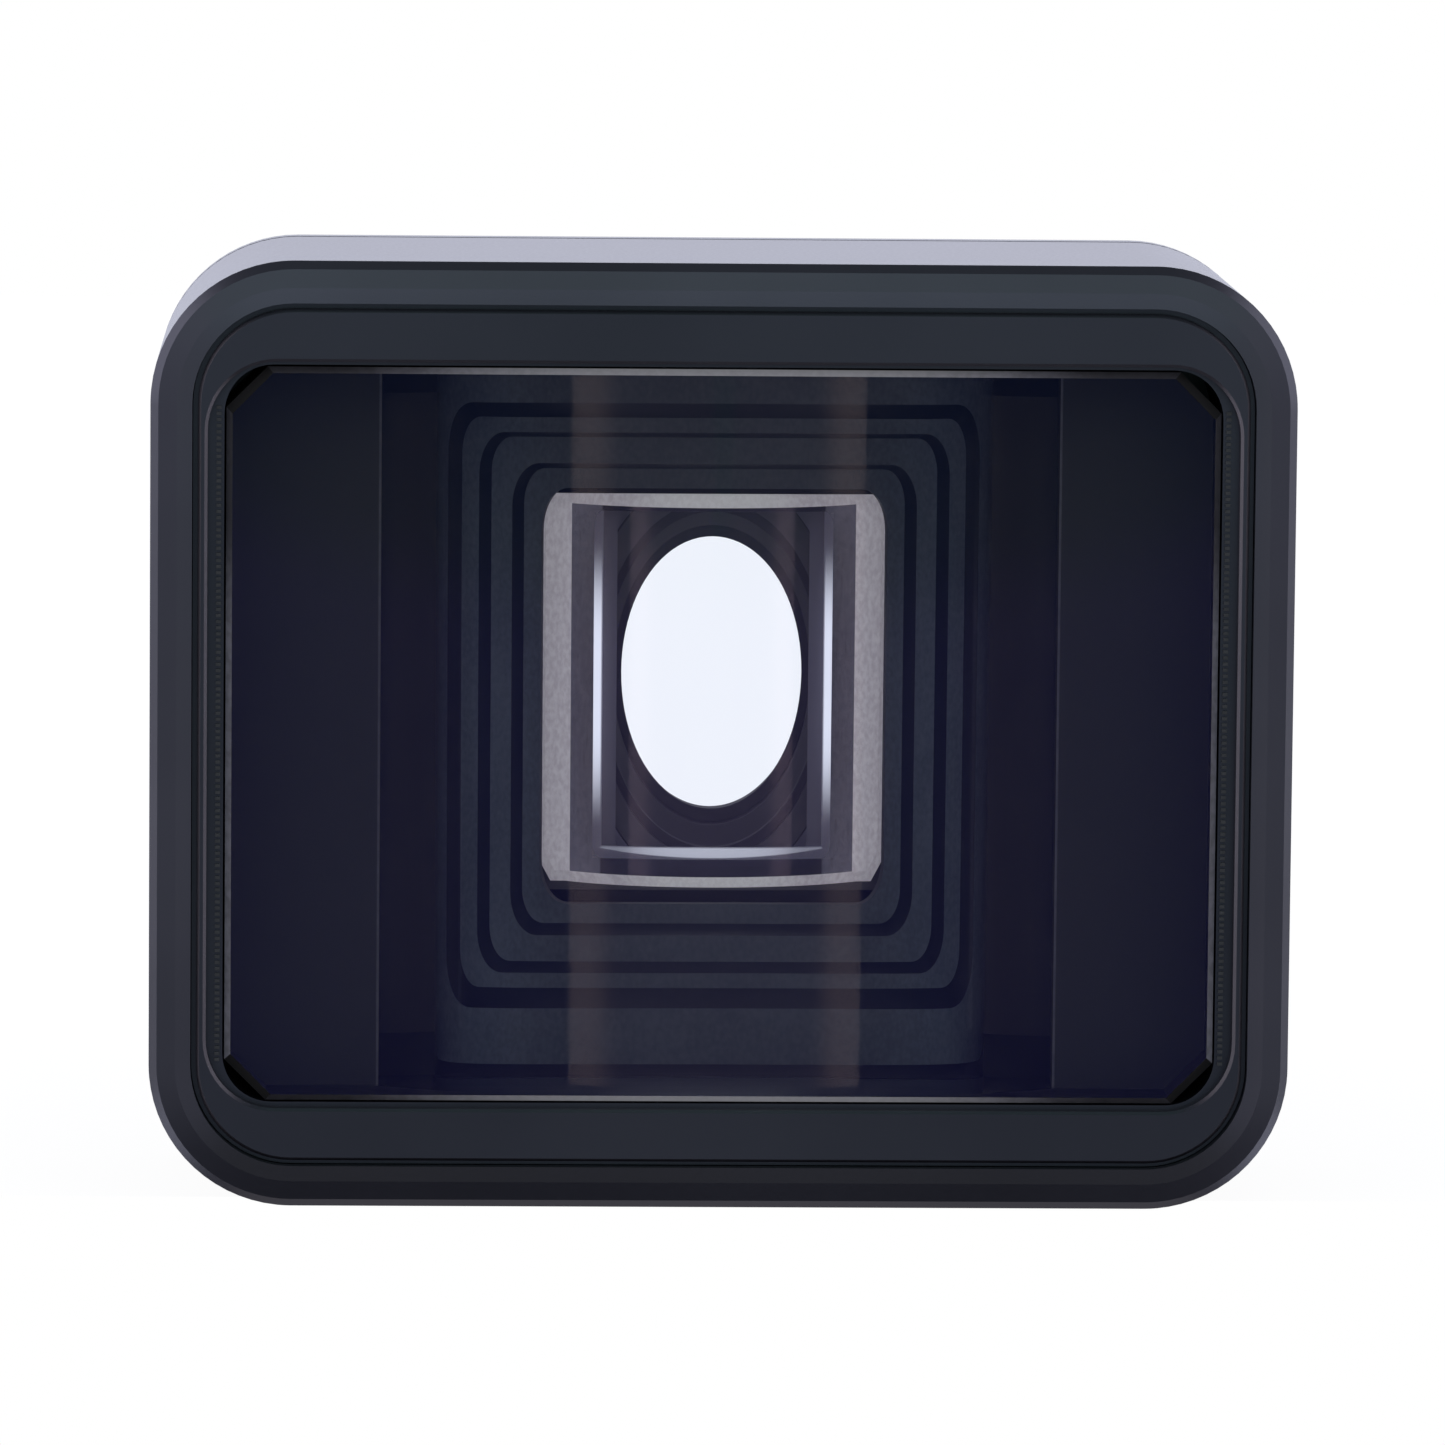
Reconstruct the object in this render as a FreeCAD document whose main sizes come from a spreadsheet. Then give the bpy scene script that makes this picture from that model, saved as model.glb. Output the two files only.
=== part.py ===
"""An anamorphic lens for a phone: a rectangular alloy block with a wide concave cylinder lens
at the front, a stepped light baffle, a convex cylinder lens behind it, and a round swivelling
17 mm threaded mount at the back, held by a knurled lock ring.

The optical axis is Y. The front looks along -Y, +Z is up, and the origin is on the optical
axis at the mount's shoulder, where a phone case's face lies.
"Station" is a distance behind the front face, in millimetres.
"""
import FreeCAD, Part
import math
import os
import re
import Sketcher

OUT = "parts"
doc = FreeCAD.newDocument("anamorphic_phone_lens")
sheet = doc.addObject("Spreadsheet::Sheet", "Sizes")

# Driving sizes: alias, millimetres (or degrees, or a count), what it is
SIZES = [
    ("body_width", 56.0, "front block, side to side"),
    ("body_height", 46.5, "front block, top to bottom"),
    ("body_corner", 7.0, "front block, corner radius"),
    ("spigot_length", 1.3, "rear housing's spigot inside the front housing"),
    ("rim_wall", 2.05, "front block's rim around the front frame"),
    ("rim_slope_width", 1.3, "width of the rim's gentle slope"),
    ("rim_slope_fall", 0.2, "how far that slope falls back"),
    ("edge_bevel", 0.4, "small bevel on the outer edges"),
    ("seam_bevel", 0.2, "bevels where the two housings meet"),
    ("frame_fit", 0.03, "clearance of the frame in its pocket"),
    ("frame_depth", 10.4, "front frame, front to back"),
    ("seam_gap", 0.25, "width of the dark seam around the front frame"),
    ("seam_depth", 0.8, "depth of that seam"),
    ("seal_thick", 0.4, "flat seals"),
    ("seal_band", 1.2, "width of the flat seals' band"),
    ("frame_side_bar", 0.75, "frame beside its window, with the seam"),
    ("frame_top_bar", 2.85, "frame above and below its window"),
    ("window_corner", 3.4, "window's corner radius"),
    ("window_step", 0.95, "depth of the ledge beside the front lens"),
    ("window_bevel", 0.15, "bevel on the opening's edge"),
    ("side_ledge", 0.9, "ledge between the window and the front lens, at the sides"),
    ("top_ledge", 0.3, "the same, above and below"),
    ("front_lens_corner", 2.3, "front lens, corner radius"),
    ("front_lens_bevel", 0.3, "front lens, ground bevel"),
    ("front_lens_recess", 0.7, "front lens, behind the front face"),
    ("front_lens_edge", 8.73, "front lens, thickness at its lands"),
    ("front_lens_centre", 1.8, "front lens, thickness on the axis"),
    ("front_lens_radius", 23.7, "front lens, radius of its concave cylinder"),
    ("lens_gap", 0.1, "clearance round each lens"),
    ("lens_pad_thick", 0.3, "pads behind the front lens's lands"),
    ("lens_pad_margin", 0.5, "those pads, from the edges of their seat"),
    ("lens_seat_width", 4.4, "frame's seats behind the front lens's lands"),
    ("cavity_corner", 3.0, "corner radius of the cavity behind the frame"),
    ("flange_lap", 0.8, "how far the baffle's flange laps its seat"),
    ("flange_fit", 0.1, "clearance round that flange"),
    ("step_floor", 0.7, "baffle's floor behind each step"),
    ("step_wall", 1.4, "baffle's wall beside each step"),
    ("mouth_side", 4.2, "ledge beside the first step"),
    ("mouth_rise", 2.85, "ledge above and below the first step"),
    ("mouth_corner", 2.8, "first step, corner radius"),
    ("mouth_depth", 1.4, "first step, depth"),
    ("mouth_draft", 31.0, "first step, draft in degrees"),
    ("second_side", 2.6, "from the first step's edge to the second's, sideways"),
    ("second_rise", 1.6, "the same, above and below"),
    ("second_depth", 1.6, "second step, depth"),
    ("third_side", 2.2, "from the second step's edge to the third's, sideways"),
    ("third_rise", 1.7, "the same, above and below"),
    ("third_depth", 1.7, "third step, depth"),
    ("last_side", 1.85, "from the third step's edge to the last opening's, sideways"),
    ("last_rise", 1.4, "the same, above and below"),
    ("step_corner", 2.2, "corner radius of the steps after the first"),
    ("step_draft", 13.0, "draft of those steps in degrees"),
    ("baffle_clear", 0.3, "from the baffle to the rear lens cell"),
    ("plate_thick", 1.8, "rear housing's plate"),
    ("spigot_wall", 3.5, "spigot's wall round the cell's flange"),
    ("block_wall", 2.6, "wall of the rear housing's block round that flange"),
    ("block_corner", 6.0, "corner radius of that block"),
    ("taper_length", 3.2, "taper from the block to the neck"),
    ("taper_ledge", 3.2, "taper's round end, beyond the neck"),
    ("rear_cavity_corner", 3.0, "corner radius of the cavity for the cell's flange"),
    ("cell_fit", 0.1, "clearance of the cell in the rear housing"),
    ("cell_flange_thick", 1.0, "rear lens cell's flange"),
    ("cell_seal_thick", 0.3, "seal behind that flange"),
    ("cell_wall", 2.2, "rear lens cell's walls"),
    ("cell_corner", 3.0, "corner radius of the cell's box"),
    ("cell_back", 0.8, "rear lens cell's back wall"),
    ("cell_mouth_ahead", 0.7, "cell's mouth, ahead of the rear lens's vertex"),
    ("cell_relief", 0.9, "relief round the cell's mouth"),
    ("cell_relief_depth", 1.1, "depth of that relief"),
    ("lens_spacing", 18.9, "from the front lens's vertex to the rear lens's"),
    ("rear_lens_side", 1.35, "rear lens, wider than the last opening at each side"),
    ("rear_lens_rise", 0.55, "rear lens, lower than it at the top and bottom"),
    ("rear_lens_corner", 1.0, "rear lens, corners cut off at 45 degrees"),
    ("rear_lens_edge", 2.88, "rear lens, thickness at its lands"),
    ("rear_lens_radius", 33.0, "rear lens, radius of its convex cylinder"),
    ("rear_lens_land", 2.4, "rear lens, ground lands beside its convex face"),
    ("rear_lens_bevel", 0.6, "rear lens, ground bevel"),
    ("mask_thick", 0.5, "black mask behind the rear lens"),
    ("mask_side", 5.1, "mask, from the rear lens's side to its window"),
    ("mask_rise", 1.1, "the same, above and below"),
    ("cell_window_margin", 0.4, "window in the cell's back wall, larger than the mask's"),
    ("exit_window_side", 2.05, "window in the rear housing, narrower than the mask's"),
    ("exit_window_rise", 0.1, "the same, above and below"),
    ("window_round", 0.8, "corner radius of those windows"),
    ("seat_wall", 1.3, "rear housing's wall at that window"),
    ("neck_length", 2.4, "threaded neck behind the taper"),
    ("neck_wall", 2.95, "threaded neck, wall"),
    ("washer_thick", 0.3, "washer in front of the mount's flange"),
    ("thrust_thick", 0.45, "washer behind the mount's flange"),
    ("thrust_proud", 0.15, "how far that washer stands out of the neck"),
    ("washer_fit", 0.1, "washers' clearance from the neck's bore"),
    ("washer_gap", 0.3, "washers, from the mount's shoulder"),
    ("mount_fit", 0.05, "clearance of the mount's flange in the neck"),
    ("mount_flange_step", 1.8, "mount barrel's flange, beyond its shoulder"),
    ("mount_flange_thick", 1.4, "mount barrel's flange"),
    ("mount_shoulder_step", 0.5, "mount barrel's shoulder, beyond its thread"),
    ("mount_stand_out", 0.6, "shoulder behind the lock ring"),
    ("thread_diameter", 17.0, "mount thread, outside"),
    ("thread_length", 3.0, "mount thread, length"),
    ("thread_bevel", 0.3, "bevel at the thread's end"),
    ("mount_mouth_depth", 0.7, "length of the barrel's wide front bore"),
    ("mount_cone", 1.6, "length of the cone behind that bore"),
    ("mount_cone_rise", 0.9, "how much that cone narrows, on each side"),
    ("thread_wall", 1.1, "mount thread's wall"),
    ("exit_stop_lap", 0.4, "exit stop's seat, width"),
    ("exit_stop_lip", 0.3, "exit stop's lip inside the bore behind it"),
    ("exit_stop_thick", 0.4, "exit stop"),
    ("exit_stop_seat", 0.2, "exit stop's seat, ahead of the shoulder"),
    ("exit_stop_fit", 0.03, "clearance round the exit stop"),
    ("ring_rim", 1.65, "lock ring's rim outside the neck"),
    ("ring_fit", 0.05, "clearance of the lock ring on the neck"),
    ("ring_gap", 0.3, "from the taper to the lock ring"),
    ("ring_wall", 1.7, "lock ring's end wall"),
    ("ring_hole_gap", 0.2, "lock ring's hole, from the mount's shoulder"),
    ("ring_edge", 0.35, "lock ring's edge bevel"),
    ("knurl_count", 40, "number of flutes on the lock ring"),
    ("knurl_depth", 0.35, "depth of a flute"),
    ("knurl_radius", 0.8, "radius of a flute"),
    ("knurl_margin", 0.6, "plain band at each end of the flutes"),
    ("pad_inset", 1.1, "rubber ring, from the lock ring's hole"),
    ("pad_margin", 1.8, "rubber ring, from the lock ring's rim"),
    ("pad_sink", 0.4, "groove that holds the rubber ring"),
    ("pad_thick", 0.95, "rubber ring"),
    ("pad_fit", 0.02, "clearance beside the rubber ring"),
    ("cover_screw_inset", 9.0, "rear screws, from the side edges"),
    ("cover_screw_edge", 2.35, "rear screws, from the top and bottom edges"),
    ("cover_screw_shank", 2.0, "rear screws, shank"),
    ("cover_screw_head", 3.4, "rear screws, head"),
    ("cover_screw_head_high", 1.0, "rear screws, head height"),
    ("cover_screw_long", 5.5, "rear screws, length under the head"),
    ("cell_screw_margin", 0.35, "from the cell's seal to the cell screws"),
    ("cell_screw_shank", 1.6, "cell screws, shank"),
    ("cell_screw_head", 2.8, "cell screws, head"),
    ("cell_screw_head_high", 0.8, "cell screws, head height"),
    ("cell_screw_long", 3.4, "cell screws, length under the head"),
    ("screw_fit", 0.03, "clearance round the screws"),
    ("hole_spare", 0.3, "holes beyond the screws' and pins' ends"),
    ("socket_width", 0.5, "screws' sockets, as a share of the head"),
    ("socket_depth", 0.5, "depth of the screws' sockets"),
    ("dowel_diameter", 1.5, "locating pins"),
    ("dowel_long", 4.0, "locating pins, length"),
    ("dowel_in_plate", 1.2, "locating pins, length in the rear plate"),
    ("dowel_edge", 1.45, "locating pins, from the side edges"),
    ("stop_screw", 1.4, "screw in the lock ring, diameter"),
    ("stop_screw_long", 1.0, "that screw, length"),
    ("stop_screw_sink", 0.15, "that screw, below the ring's rim"),
]
for number, (alias, size, words) in enumerate(SIZES, start=1):
    sheet.set(f"A{number}", words)
    sheet.set(f"B{number}", str(size))
    sheet.setAlias(f"B{number}", alias)
doc.recompute()

ALIASES = {alias for alias, _, _ in SIZES}


def cells(text):
    """An expression in size names, with each name pointed at its cell."""
    return re.sub(r"[a-z][a-z_]+", lambda m: f"Sizes.{m[0]}" if m[0] in ALIASES else m[0], text)


def worth(text):
    """What such an expression comes to now, in millimetres."""
    found = sheet.evalExpression(cells(text))
    return float(getattr(found, "Value", found))


def bind(item, path, text):
    item.setExpression(path, cells(text))


def grown(outline_sizes, across, up=None, corner=None):
    """A rounded rectangle's three sizes with a margin added on each side. The corner grows by
    the same margin unless it is given."""
    width, height, old_corner = outline_sizes
    return (
        f"({width} + 2 * ({across}))",
        f"({height} + 2 * ({up or across}))",
        corner or f"({old_corner} + ({across}))",
    )


# Widths, heights and corners, from the outside to the rear window
OUTSIDE = ("body_width", "body_height", "body_corner")
POCKET = grown(OUTSIDE, "-rim_wall")
WINDOW = grown(POCKET, "-frame_side_bar", "-frame_top_bar", "window_corner")
FRONT_LENS = grown(WINDOW, "-side_ledge", "-top_ledge", "front_lens_corner")
LENS_POCKET = grown(FRONT_LENS, "lens_gap")
THROAT = grown(LENS_POCKET, "-lens_seat_width", "0", "front_lens_corner")
CAVITY = grown(FRONT_LENS, "0", "lens_gap", "cavity_corner")
FLANGE_POCKET = grown(CAVITY, "flange_lap")
MOUTH = grown(CAVITY, "-mouth_side", "-mouth_rise", "mouth_corner")
SECOND = grown(MOUTH, "-second_side", "-second_rise", "step_corner")
THIRD = grown(SECOND, "-third_side", "-third_rise", "step_corner")
LAST = grown(THIRD, "-last_side", "-last_rise", "step_corner")
REAR_LENS = grown(LAST, "rear_lens_side", "-rear_lens_rise")
CELL_POCKET = grown(REAR_LENS, "lens_gap", corner="window_round")
CELL_BOX = grown(CELL_POCKET, "cell_wall", corner="cell_corner")
MASK_WINDOW = grown(REAR_LENS, "-mask_side", "-mask_rise", "window_round")
EXIT_WINDOW = grown(MASK_WINDOW, "-exit_window_side", "-exit_window_rise", "window_round")
REAR_CAVITY = grown(FLANGE_POCKET, "-spigot_wall", corner="rear_cavity_corner")
REAR_BLOCK = grown(REAR_CAVITY, "block_wall", corner="block_corner")

# Diameters round the optical axis, from the thread outwards and inwards
SHOULDER_WIDE = "(thread_diameter + 2 * mount_shoulder_step)"
MOUNT_FLANGE = f"({SHOULDER_WIDE} + 2 * mount_flange_step)"
NECK_BORE = f"({MOUNT_FLANGE} + 2 * mount_fit)"
NECK = f"({NECK_BORE} + 2 * neck_wall)"
TAPER_END = f"({NECK} + 2 * taper_ledge)"
RING_BORE = f"({NECK} + 2 * ring_fit)"
RING = f"({RING_BORE} + 2 * ring_rim)"
RING_HOLE = f"({SHOULDER_WIDE} + 2 * ring_hole_gap)"
PAD_INNER = f"({RING_HOLE} + 2 * pad_inset)"
PAD_OUTER = f"({RING} - 2 * pad_margin)"
WASHER_BORE = f"({SHOULDER_WIDE} + 2 * washer_gap)"
WASHER = f"({NECK_BORE} - 2 * washer_fit)"
EXIT_BORE = "(thread_diameter - 2 * thread_wall)"
STOP_HOLE = f"({EXIT_BORE} - 2 * exit_stop_lip)"
MOUNT_BORE = f"({EXIT_BORE} + 2 * exit_stop_lap)"
MOUNT_MOUTH = f"({MOUNT_BORE} + 2 * mount_cone_rise)"

# Stations, as expressions in the sizes
LENS_VERTEX = "(front_lens_recess + front_lens_centre)"
LENS_BACK = "(front_lens_recess + front_lens_edge)"
PAD_SEAT = f"({LENS_BACK} + lens_pad_thick)"
FRAME_SEAT = "(frame_depth + seal_thick)"
REAR_VERTEX = f"({LENS_VERTEX} + lens_spacing)"
CELL_FRONT = f"({REAR_VERTEX} - cell_mouth_ahead)"
CELL_FLANGE_BACK = f"({CELL_FRONT} + cell_flange_thick)"
CELL_SEAT = f"({CELL_FLANGE_BACK} + cell_seal_thick)"
BAFFLE_BACK = f"({CELL_FRONT} - baffle_clear)"
THIRD_BACK = f"({BAFFLE_BACK} - step_floor)"
SECOND_BACK = f"({THIRD_BACK} - third_depth)"
MOUTH_BACK = f"({SECOND_BACK} - second_depth)"
BAFFLE_FRONT = f"({MOUTH_BACK} - mouth_depth)"
FLANGE_BACK = f"({MOUTH_BACK} + step_floor)"
SPIGOT_FRONT = f"({FLANGE_BACK} + seal_thick)"
SEAM = f"({SPIGOT_FRONT} + spigot_length)"
PLATE_BACK = f"({SEAM} + plate_thick)"
REAR_CHORD = f"({REAR_LENS[0]} / 2 - rear_lens_land)"
REAR_SAG = f"(rear_lens_radius - sqrt(rear_lens_radius ^ 2 - {REAR_CHORD} ^ 2))"
REAR_LAND = f"({REAR_VERTEX} + {REAR_SAG})"
REAR_LENS_BACK = f"({REAR_LAND} + rear_lens_edge)"
MASK_BACK = f"({REAR_LENS_BACK} + mask_thick)"
CELL_BACK = f"({MASK_BACK} + cell_back)"
WASHER_SEAT = f"({CELL_BACK} + cell_fit + seat_wall)"
MOUNT_FRONT = f"({WASHER_SEAT} + washer_thick)"
MOUNT_FLANGE_BACK = f"({MOUNT_FRONT} + mount_flange_thick)"
RING_SEAT = f"({MOUNT_FLANGE_BACK} + thrust_thick)"
NECK_BACK = f"({RING_SEAT} - thrust_proud)"
TAPER_BACK = f"({NECK_BACK} - neck_length)"
BLOCK_BACK = f"({TAPER_BACK} - taper_length)"
RING_FRONT = f"({TAPER_BACK} + ring_gap)"
RING_BACK = f"({RING_SEAT} + ring_wall)"
SHOULDER = f"({RING_BACK} + mount_stand_out)"
THREAD_END = f"({SHOULDER} + thread_length)"
STOP_BACK = f"({SHOULDER} - exit_stop_seat)"
STOP_FRONT = f"({STOP_BACK} - exit_stop_thick)"
COVER_SCREW_RISE = "(body_height / 2 - cover_screw_edge)"


def new_body(label, many=False):
    body = doc.addObject("PartDesign::Body", label)
    body.Label = label
    body.AllowCompound = many
    return body


def plane(body, role):
    return next(f for f in body.Origin.OriginFeatures if f.Role == role)


def sketch_across(body, name, station):
    """A sketch square to the optical axis at a station. Its normal points to the front."""
    sketch = body.newObject("Sketcher::SketchObject", name)
    sketch.AttachmentSupport = [(plane(body, "XZ_Plane"), "")]
    sketch.MapMode = "FlatFace"
    bind(sketch, "AttachmentOffset.Base.z", f"{SHOULDER} - {station}")
    return sketch


def sketch_along(body, name, role="XY_Plane"):
    """A sketch in a plane that holds the optical axis: the plan by default."""
    sketch = body.newObject("Sketcher::SketchObject", name)
    sketch.AttachmentSupport = [(plane(body, role), "")]
    sketch.MapMode = "FlatFace"
    return sketch


def measure(sketch, name, kind, *where):
    """Adds a dimension and ties it to an expression, which is the last of where."""
    *points, text = where
    place = sketch.addConstraint(Sketcher.Constraint(kind, *points, worth(text)))
    sketch.renameConstraint(place, name)
    bind(sketch, f"Constraints.{name}", text)


def rounded_rectangle(sketch, width, height, corner):
    """A centred rectangle with round corners, four lines and four tangent arcs."""
    half_w, half_h, r = worth(width) / 2, worth(height) / 2, worth(corner)
    flat = Part.LineSegment
    at = lambda x, z: FreeCAD.Vector(x, z, 0)
    turn = lambda x, z, start: Part.ArcOfCircle(
        Part.Circle(at(x, z), at(0, 0) + FreeCAD.Vector(0, 0, 1), r),
        math.radians(start),
        math.radians(start + 90),
    )
    in_w, in_h = half_w - r, half_h - r
    sketch.addGeometry(
        [
            flat(at(-in_w, -half_h), at(in_w, -half_h)),
            turn(in_w, -in_h, 270),
            flat(at(half_w, -in_h), at(half_w, in_h)),
            turn(in_w, in_h, 0),
            flat(at(in_w, half_h), at(-in_w, half_h)),
            turn(-in_w, in_h, 90),
            flat(at(-half_w, in_h), at(-half_w, -in_h)),
            turn(-in_w, -in_h, 180),
        ],
        False,
    )
    start, end = 1, 2
    for side in range(8):
        sketch.addConstraint(Sketcher.Constraint("Tangent", side, end, (side + 1) % 8, start))
    for side, way in ((0, "Horizontal"), (2, "Vertical"), (4, "Horizontal"), (6, "Vertical")):
        sketch.addConstraint(Sketcher.Constraint(way, side))
    for side in (3, 5, 7):
        sketch.addConstraint(Sketcher.Constraint("Equal", 1, side))
    sketch.addConstraint(Sketcher.Constraint("Symmetric", 0, start, 4, start, -1, 1))
    measure(sketch, "width", "DistanceX", 6, start, 2, start, width)
    measure(sketch, "height", "DistanceY", 0, start, 4, start, height)
    measure(sketch, "corner", "Radius", 1, corner)


def circles(sketch, diameter, places=(("0", "0"),)):
    """Circles of one diameter, each centred at a pair of expressions."""
    for n, (x, z) in enumerate(places):
        middle = FreeCAD.Vector(worth(x), worth(z), 0)
        shape = Part.Circle(middle, FreeCAD.Vector(0, 0, 1), worth(diameter) / 2)
        sketch.addGeometry(shape, False)
        if (x, z) == ("0", "0"):
            sketch.addConstraint(Sketcher.Constraint("Coincident", n, 3, -1, 1))
        else:
            measure(sketch, f"across{n}", "DistanceX", -1, 1, n, 3, x)
            measure(sketch, f"up{n}", "DistanceY", -1, 1, n, 3, z)
        measure(sketch, f"diameter{n}", "Diameter", n, diameter)


def outline(sketch, points, arcs=None):
    """A closed outline. points are pairs of expressions, and arcs gives, for the edge that
    starts at a point, its radius and whether it runs anticlockwise."""
    arcs = arcs or {}
    spots = [FreeCAD.Vector(worth(x), worth(y), 0) for x, y in points]
    count = len(spots)
    for n, first in enumerate(spots):
        last = spots[(n + 1) % count]
        if n not in arcs:
            sketch.addGeometry(Part.LineSegment(first, last), False)
            continue
        radius, anticlockwise = arcs[n]
        r = worth(radius)
        chord = last - first
        aside = FreeCAD.Vector(-chord.y, chord.x, 0).normalize()
        reach = math.sqrt(r * r - chord.Length**2 / 4)
        centre = (first + last) * 0.5 + aside * (reach if anticlockwise else -reach)
        one, two = (first, last) if anticlockwise else (last, first)
        angle = lambda p: math.atan2(p.y - centre.y, p.x - centre.x)
        circle = Part.Circle(centre, FreeCAD.Vector(0, 0, 1), r)
        sketch.addGeometry(Part.ArcOfCircle(circle, angle(one), angle(two)), False)
    head = lambda n: 2 if n in arcs and not arcs[n][1] else 1
    tail = lambda n: 3 - head(n)
    for n, (x, y) in enumerate(points):
        before = (n - 1) % count
        sketch.addConstraint(Sketcher.Constraint("Coincident", before, tail(before), n, head(n)))
        measure(sketch, f"across{n}", "DistanceX", -1, 1, n, head(n), x)
        measure(sketch, f"along{n}", "DistanceY", -1, 1, n, head(n), y)
    for n, (radius, _) in arcs.items():
        measure(sketch, f"radius{n}", "Radius", n, radius)


def behind(station):
    """A station as a Y coordinate, for the sketches along the axis."""
    return f"({station} - {SHOULDER})"


def pad(body, name, sketch, length, to_rear=True):
    made = body.newObject("PartDesign::Pad", name)
    made.Profile = sketch
    bind(made, "Length", length)
    made.Reversed = to_rear
    return settle(body, made)


def pocket(body, name, sketch, length, draft=None, to_rear=True, smaller=True):
    """A cut from the sketch towards the rear. It stops the build if it cuts nothing."""
    before = body.Shape.Volume
    made = body.newObject("PartDesign::Pocket", name)
    made.Profile = sketch
    bind(made, "Length", length)
    made.Reversed = not to_rear
    if draft:
        bind(made, "TaperAngle", draft)
    settle(body, made)
    if smaller and body.Shape.Volume >= before - 1e-6:
        raise SystemExit(f"{name} in {body.Label} cuts nothing")
    return made


def settle(body, made):
    """Makes a feature the body's last one and works it out. It stops the build if it failed."""
    body.Tip = made
    doc.recompute()
    if made.Shape.isNull() or {"Invalid", "Error"} & set(made.State):
        raise SystemExit(f"{made.Name} in {body.Label} failed: {made.getStatusString()}")
    return made


def revolve(body, name, sketch):
    """A solid of revolution about the optical axis."""
    made = body.newObject("PartDesign::Revolution", name)
    made.Profile = sketch
    made.ReferenceAxis = (sketch, ["V_Axis"])
    made.Angle = 360
    return settle(body, made)


def edges_where(body, wanted):
    return [f"Edge{n}" for n, e in enumerate(body.Shape.Edges, start=1) if wanted(e)]


def at_station(edge, station, reach=1e-4):
    """True if the whole edge lies in the plane of a station."""
    y = worth(behind(station))
    box = edge.BoundBox
    return abs(box.YMin - y) < reach and abs(box.YMax - y) < reach


def bevel(body, name, wanted, size, fall=None):
    """A chamfer on the edges that wanted picks. fall makes its second side longer or shorter."""
    base = (body.Tip, edges_where(body, wanted))
    made = body.newObject("PartDesign::Chamfer", name)
    made.Base = base
    bind(made, "Size", size)
    if fall:
        made.ChamferType = "Two distances"
        made.FlipDirection = True
        bind(made, "Size2", fall)
    return settle(body, made)


def four(side, rise):
    return [(f"{a}{side}", f"{b}{rise}") for a in ("", "-") for b in ("", "-")]


def block(body, name, station, length, outline_sizes, to_rear=True):
    sketch = sketch_across(body, f"{name}Outline", station)
    rounded_rectangle(sketch, *outline_sizes)
    return pad(body, name, sketch, length, to_rear)


def hollow(body, name, station, length, outline_sizes, draft=None):
    sketch = sketch_across(body, f"{name}Outline", station)
    rounded_rectangle(sketch, *outline_sizes)
    return pocket(body, name, sketch, length, draft)


def drill(body, name, station, length, diameter, places, to_rear=True):
    sketch = sketch_across(body, f"{name}Circles", station)
    circles(sketch, diameter, places)
    return pocket(body, name, sketch, length, to_rear=to_rear)


def turned(label, points):
    """A body of revolution from (radius, station) pairs."""
    body = new_body(label)
    sketch = sketch_along(body, "Section")
    outline(sketch, [(radius, behind(station)) for radius, station in points])
    revolve(body, "Turned", sketch)
    return body


def flat_seal(label, station, thick, outline_sizes):
    """A flat rectangular seal with an even band."""
    body = new_body(label)
    block(body, "Band", station, thick, outline_sizes)
    hollow(body, "Inside", station, thick, grown(outline_sizes, "-seal_band"))
    return body


def upright(edge):
    """True for a straight edge that runs along the optical axis."""
    box = edge.BoundBox
    return max(box.XLength, box.ZLength) < 1e-6 < box.YLength


def outermost(body, edge):
    """True if the edge lies on the body's outline as seen from the front."""
    box, whole = edge.BoundBox, body.Shape.BoundBox
    corner = worth("body_corner")
    on_side = max(abs(box.XMin), abs(box.XMax)) > whole.XMax - corner
    on_top = max(abs(box.ZMin), abs(box.ZMax)) > whole.ZMax - corner
    return on_side or on_top


# The housings and what lies between them
COVER_SCREWS = four("(body_width / 2 - cover_screw_inset)", COVER_SCREW_RISE)
CELL_SCREW_INSET = "(cell_fit + seal_band + cell_screw_margin + cell_screw_shank / 2)"
CELL_SCREWS = four(
    f"({REAR_CAVITY[0]} / 2 - {CELL_SCREW_INSET})",
    f"({REAR_CAVITY[1]} / 2 - {CELL_SCREW_INSET})",
)
DOWELS = [("(body_width / 2 - dowel_edge)", "0"), ("-(body_width / 2 - dowel_edge)", "0")]
COVER_HEAD_SEAT = f"({PLATE_BACK} - cover_screw_head_high - screw_fit)"
DOWEL_FRONT = f"({SEAM} + dowel_in_plate - dowel_long)"


def make_front_housing():
    """A block with round corners, a pocket for the frame, a cavity, and a seat for the baffle.
    Its face slopes back a little towards the outer edge."""
    body = new_body("front_housing")
    block(body, "Block", "0", SEAM, OUTSIDE)
    bevel(body, "RimSlope", lambda e: at_station(e, "0"), "rim_slope_width", "rim_slope_fall")
    bevel(
        body,
        "OuterEdge",
        lambda e: at_station(e, "rim_slope_fall") and outermost(body, e),
        "edge_bevel",
    )
    bevel(body, "SeamEdge", lambda e: at_station(e, SEAM), "seam_bevel")
    hollow(body, "FramePocket", "0", FRAME_SEAT, POCKET)
    hollow(body, "Cavity", FRAME_SEAT, f"{SEAM} - {FRAME_SEAT}", CAVITY)
    hollow(body, "FlangePocket", BAFFLE_FRONT, f"{SEAM} - {BAFFLE_FRONT}", FLANGE_POCKET)
    diameter = "cover_screw_shank + 2 * screw_fit"
    depth = f"{SEAM} - ({COVER_HEAD_SEAT} - cover_screw_long - hole_spare)"
    drill(body, "ScrewHoles", SEAM, depth, diameter, COVER_SCREWS, to_rear=False)
    depth = f"{SEAM} - ({DOWEL_FRONT} - hole_spare)"
    drill(body, "PinHoles", SEAM, depth, "dowel_diameter", DOWELS, to_rear=False)
    return body


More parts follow.
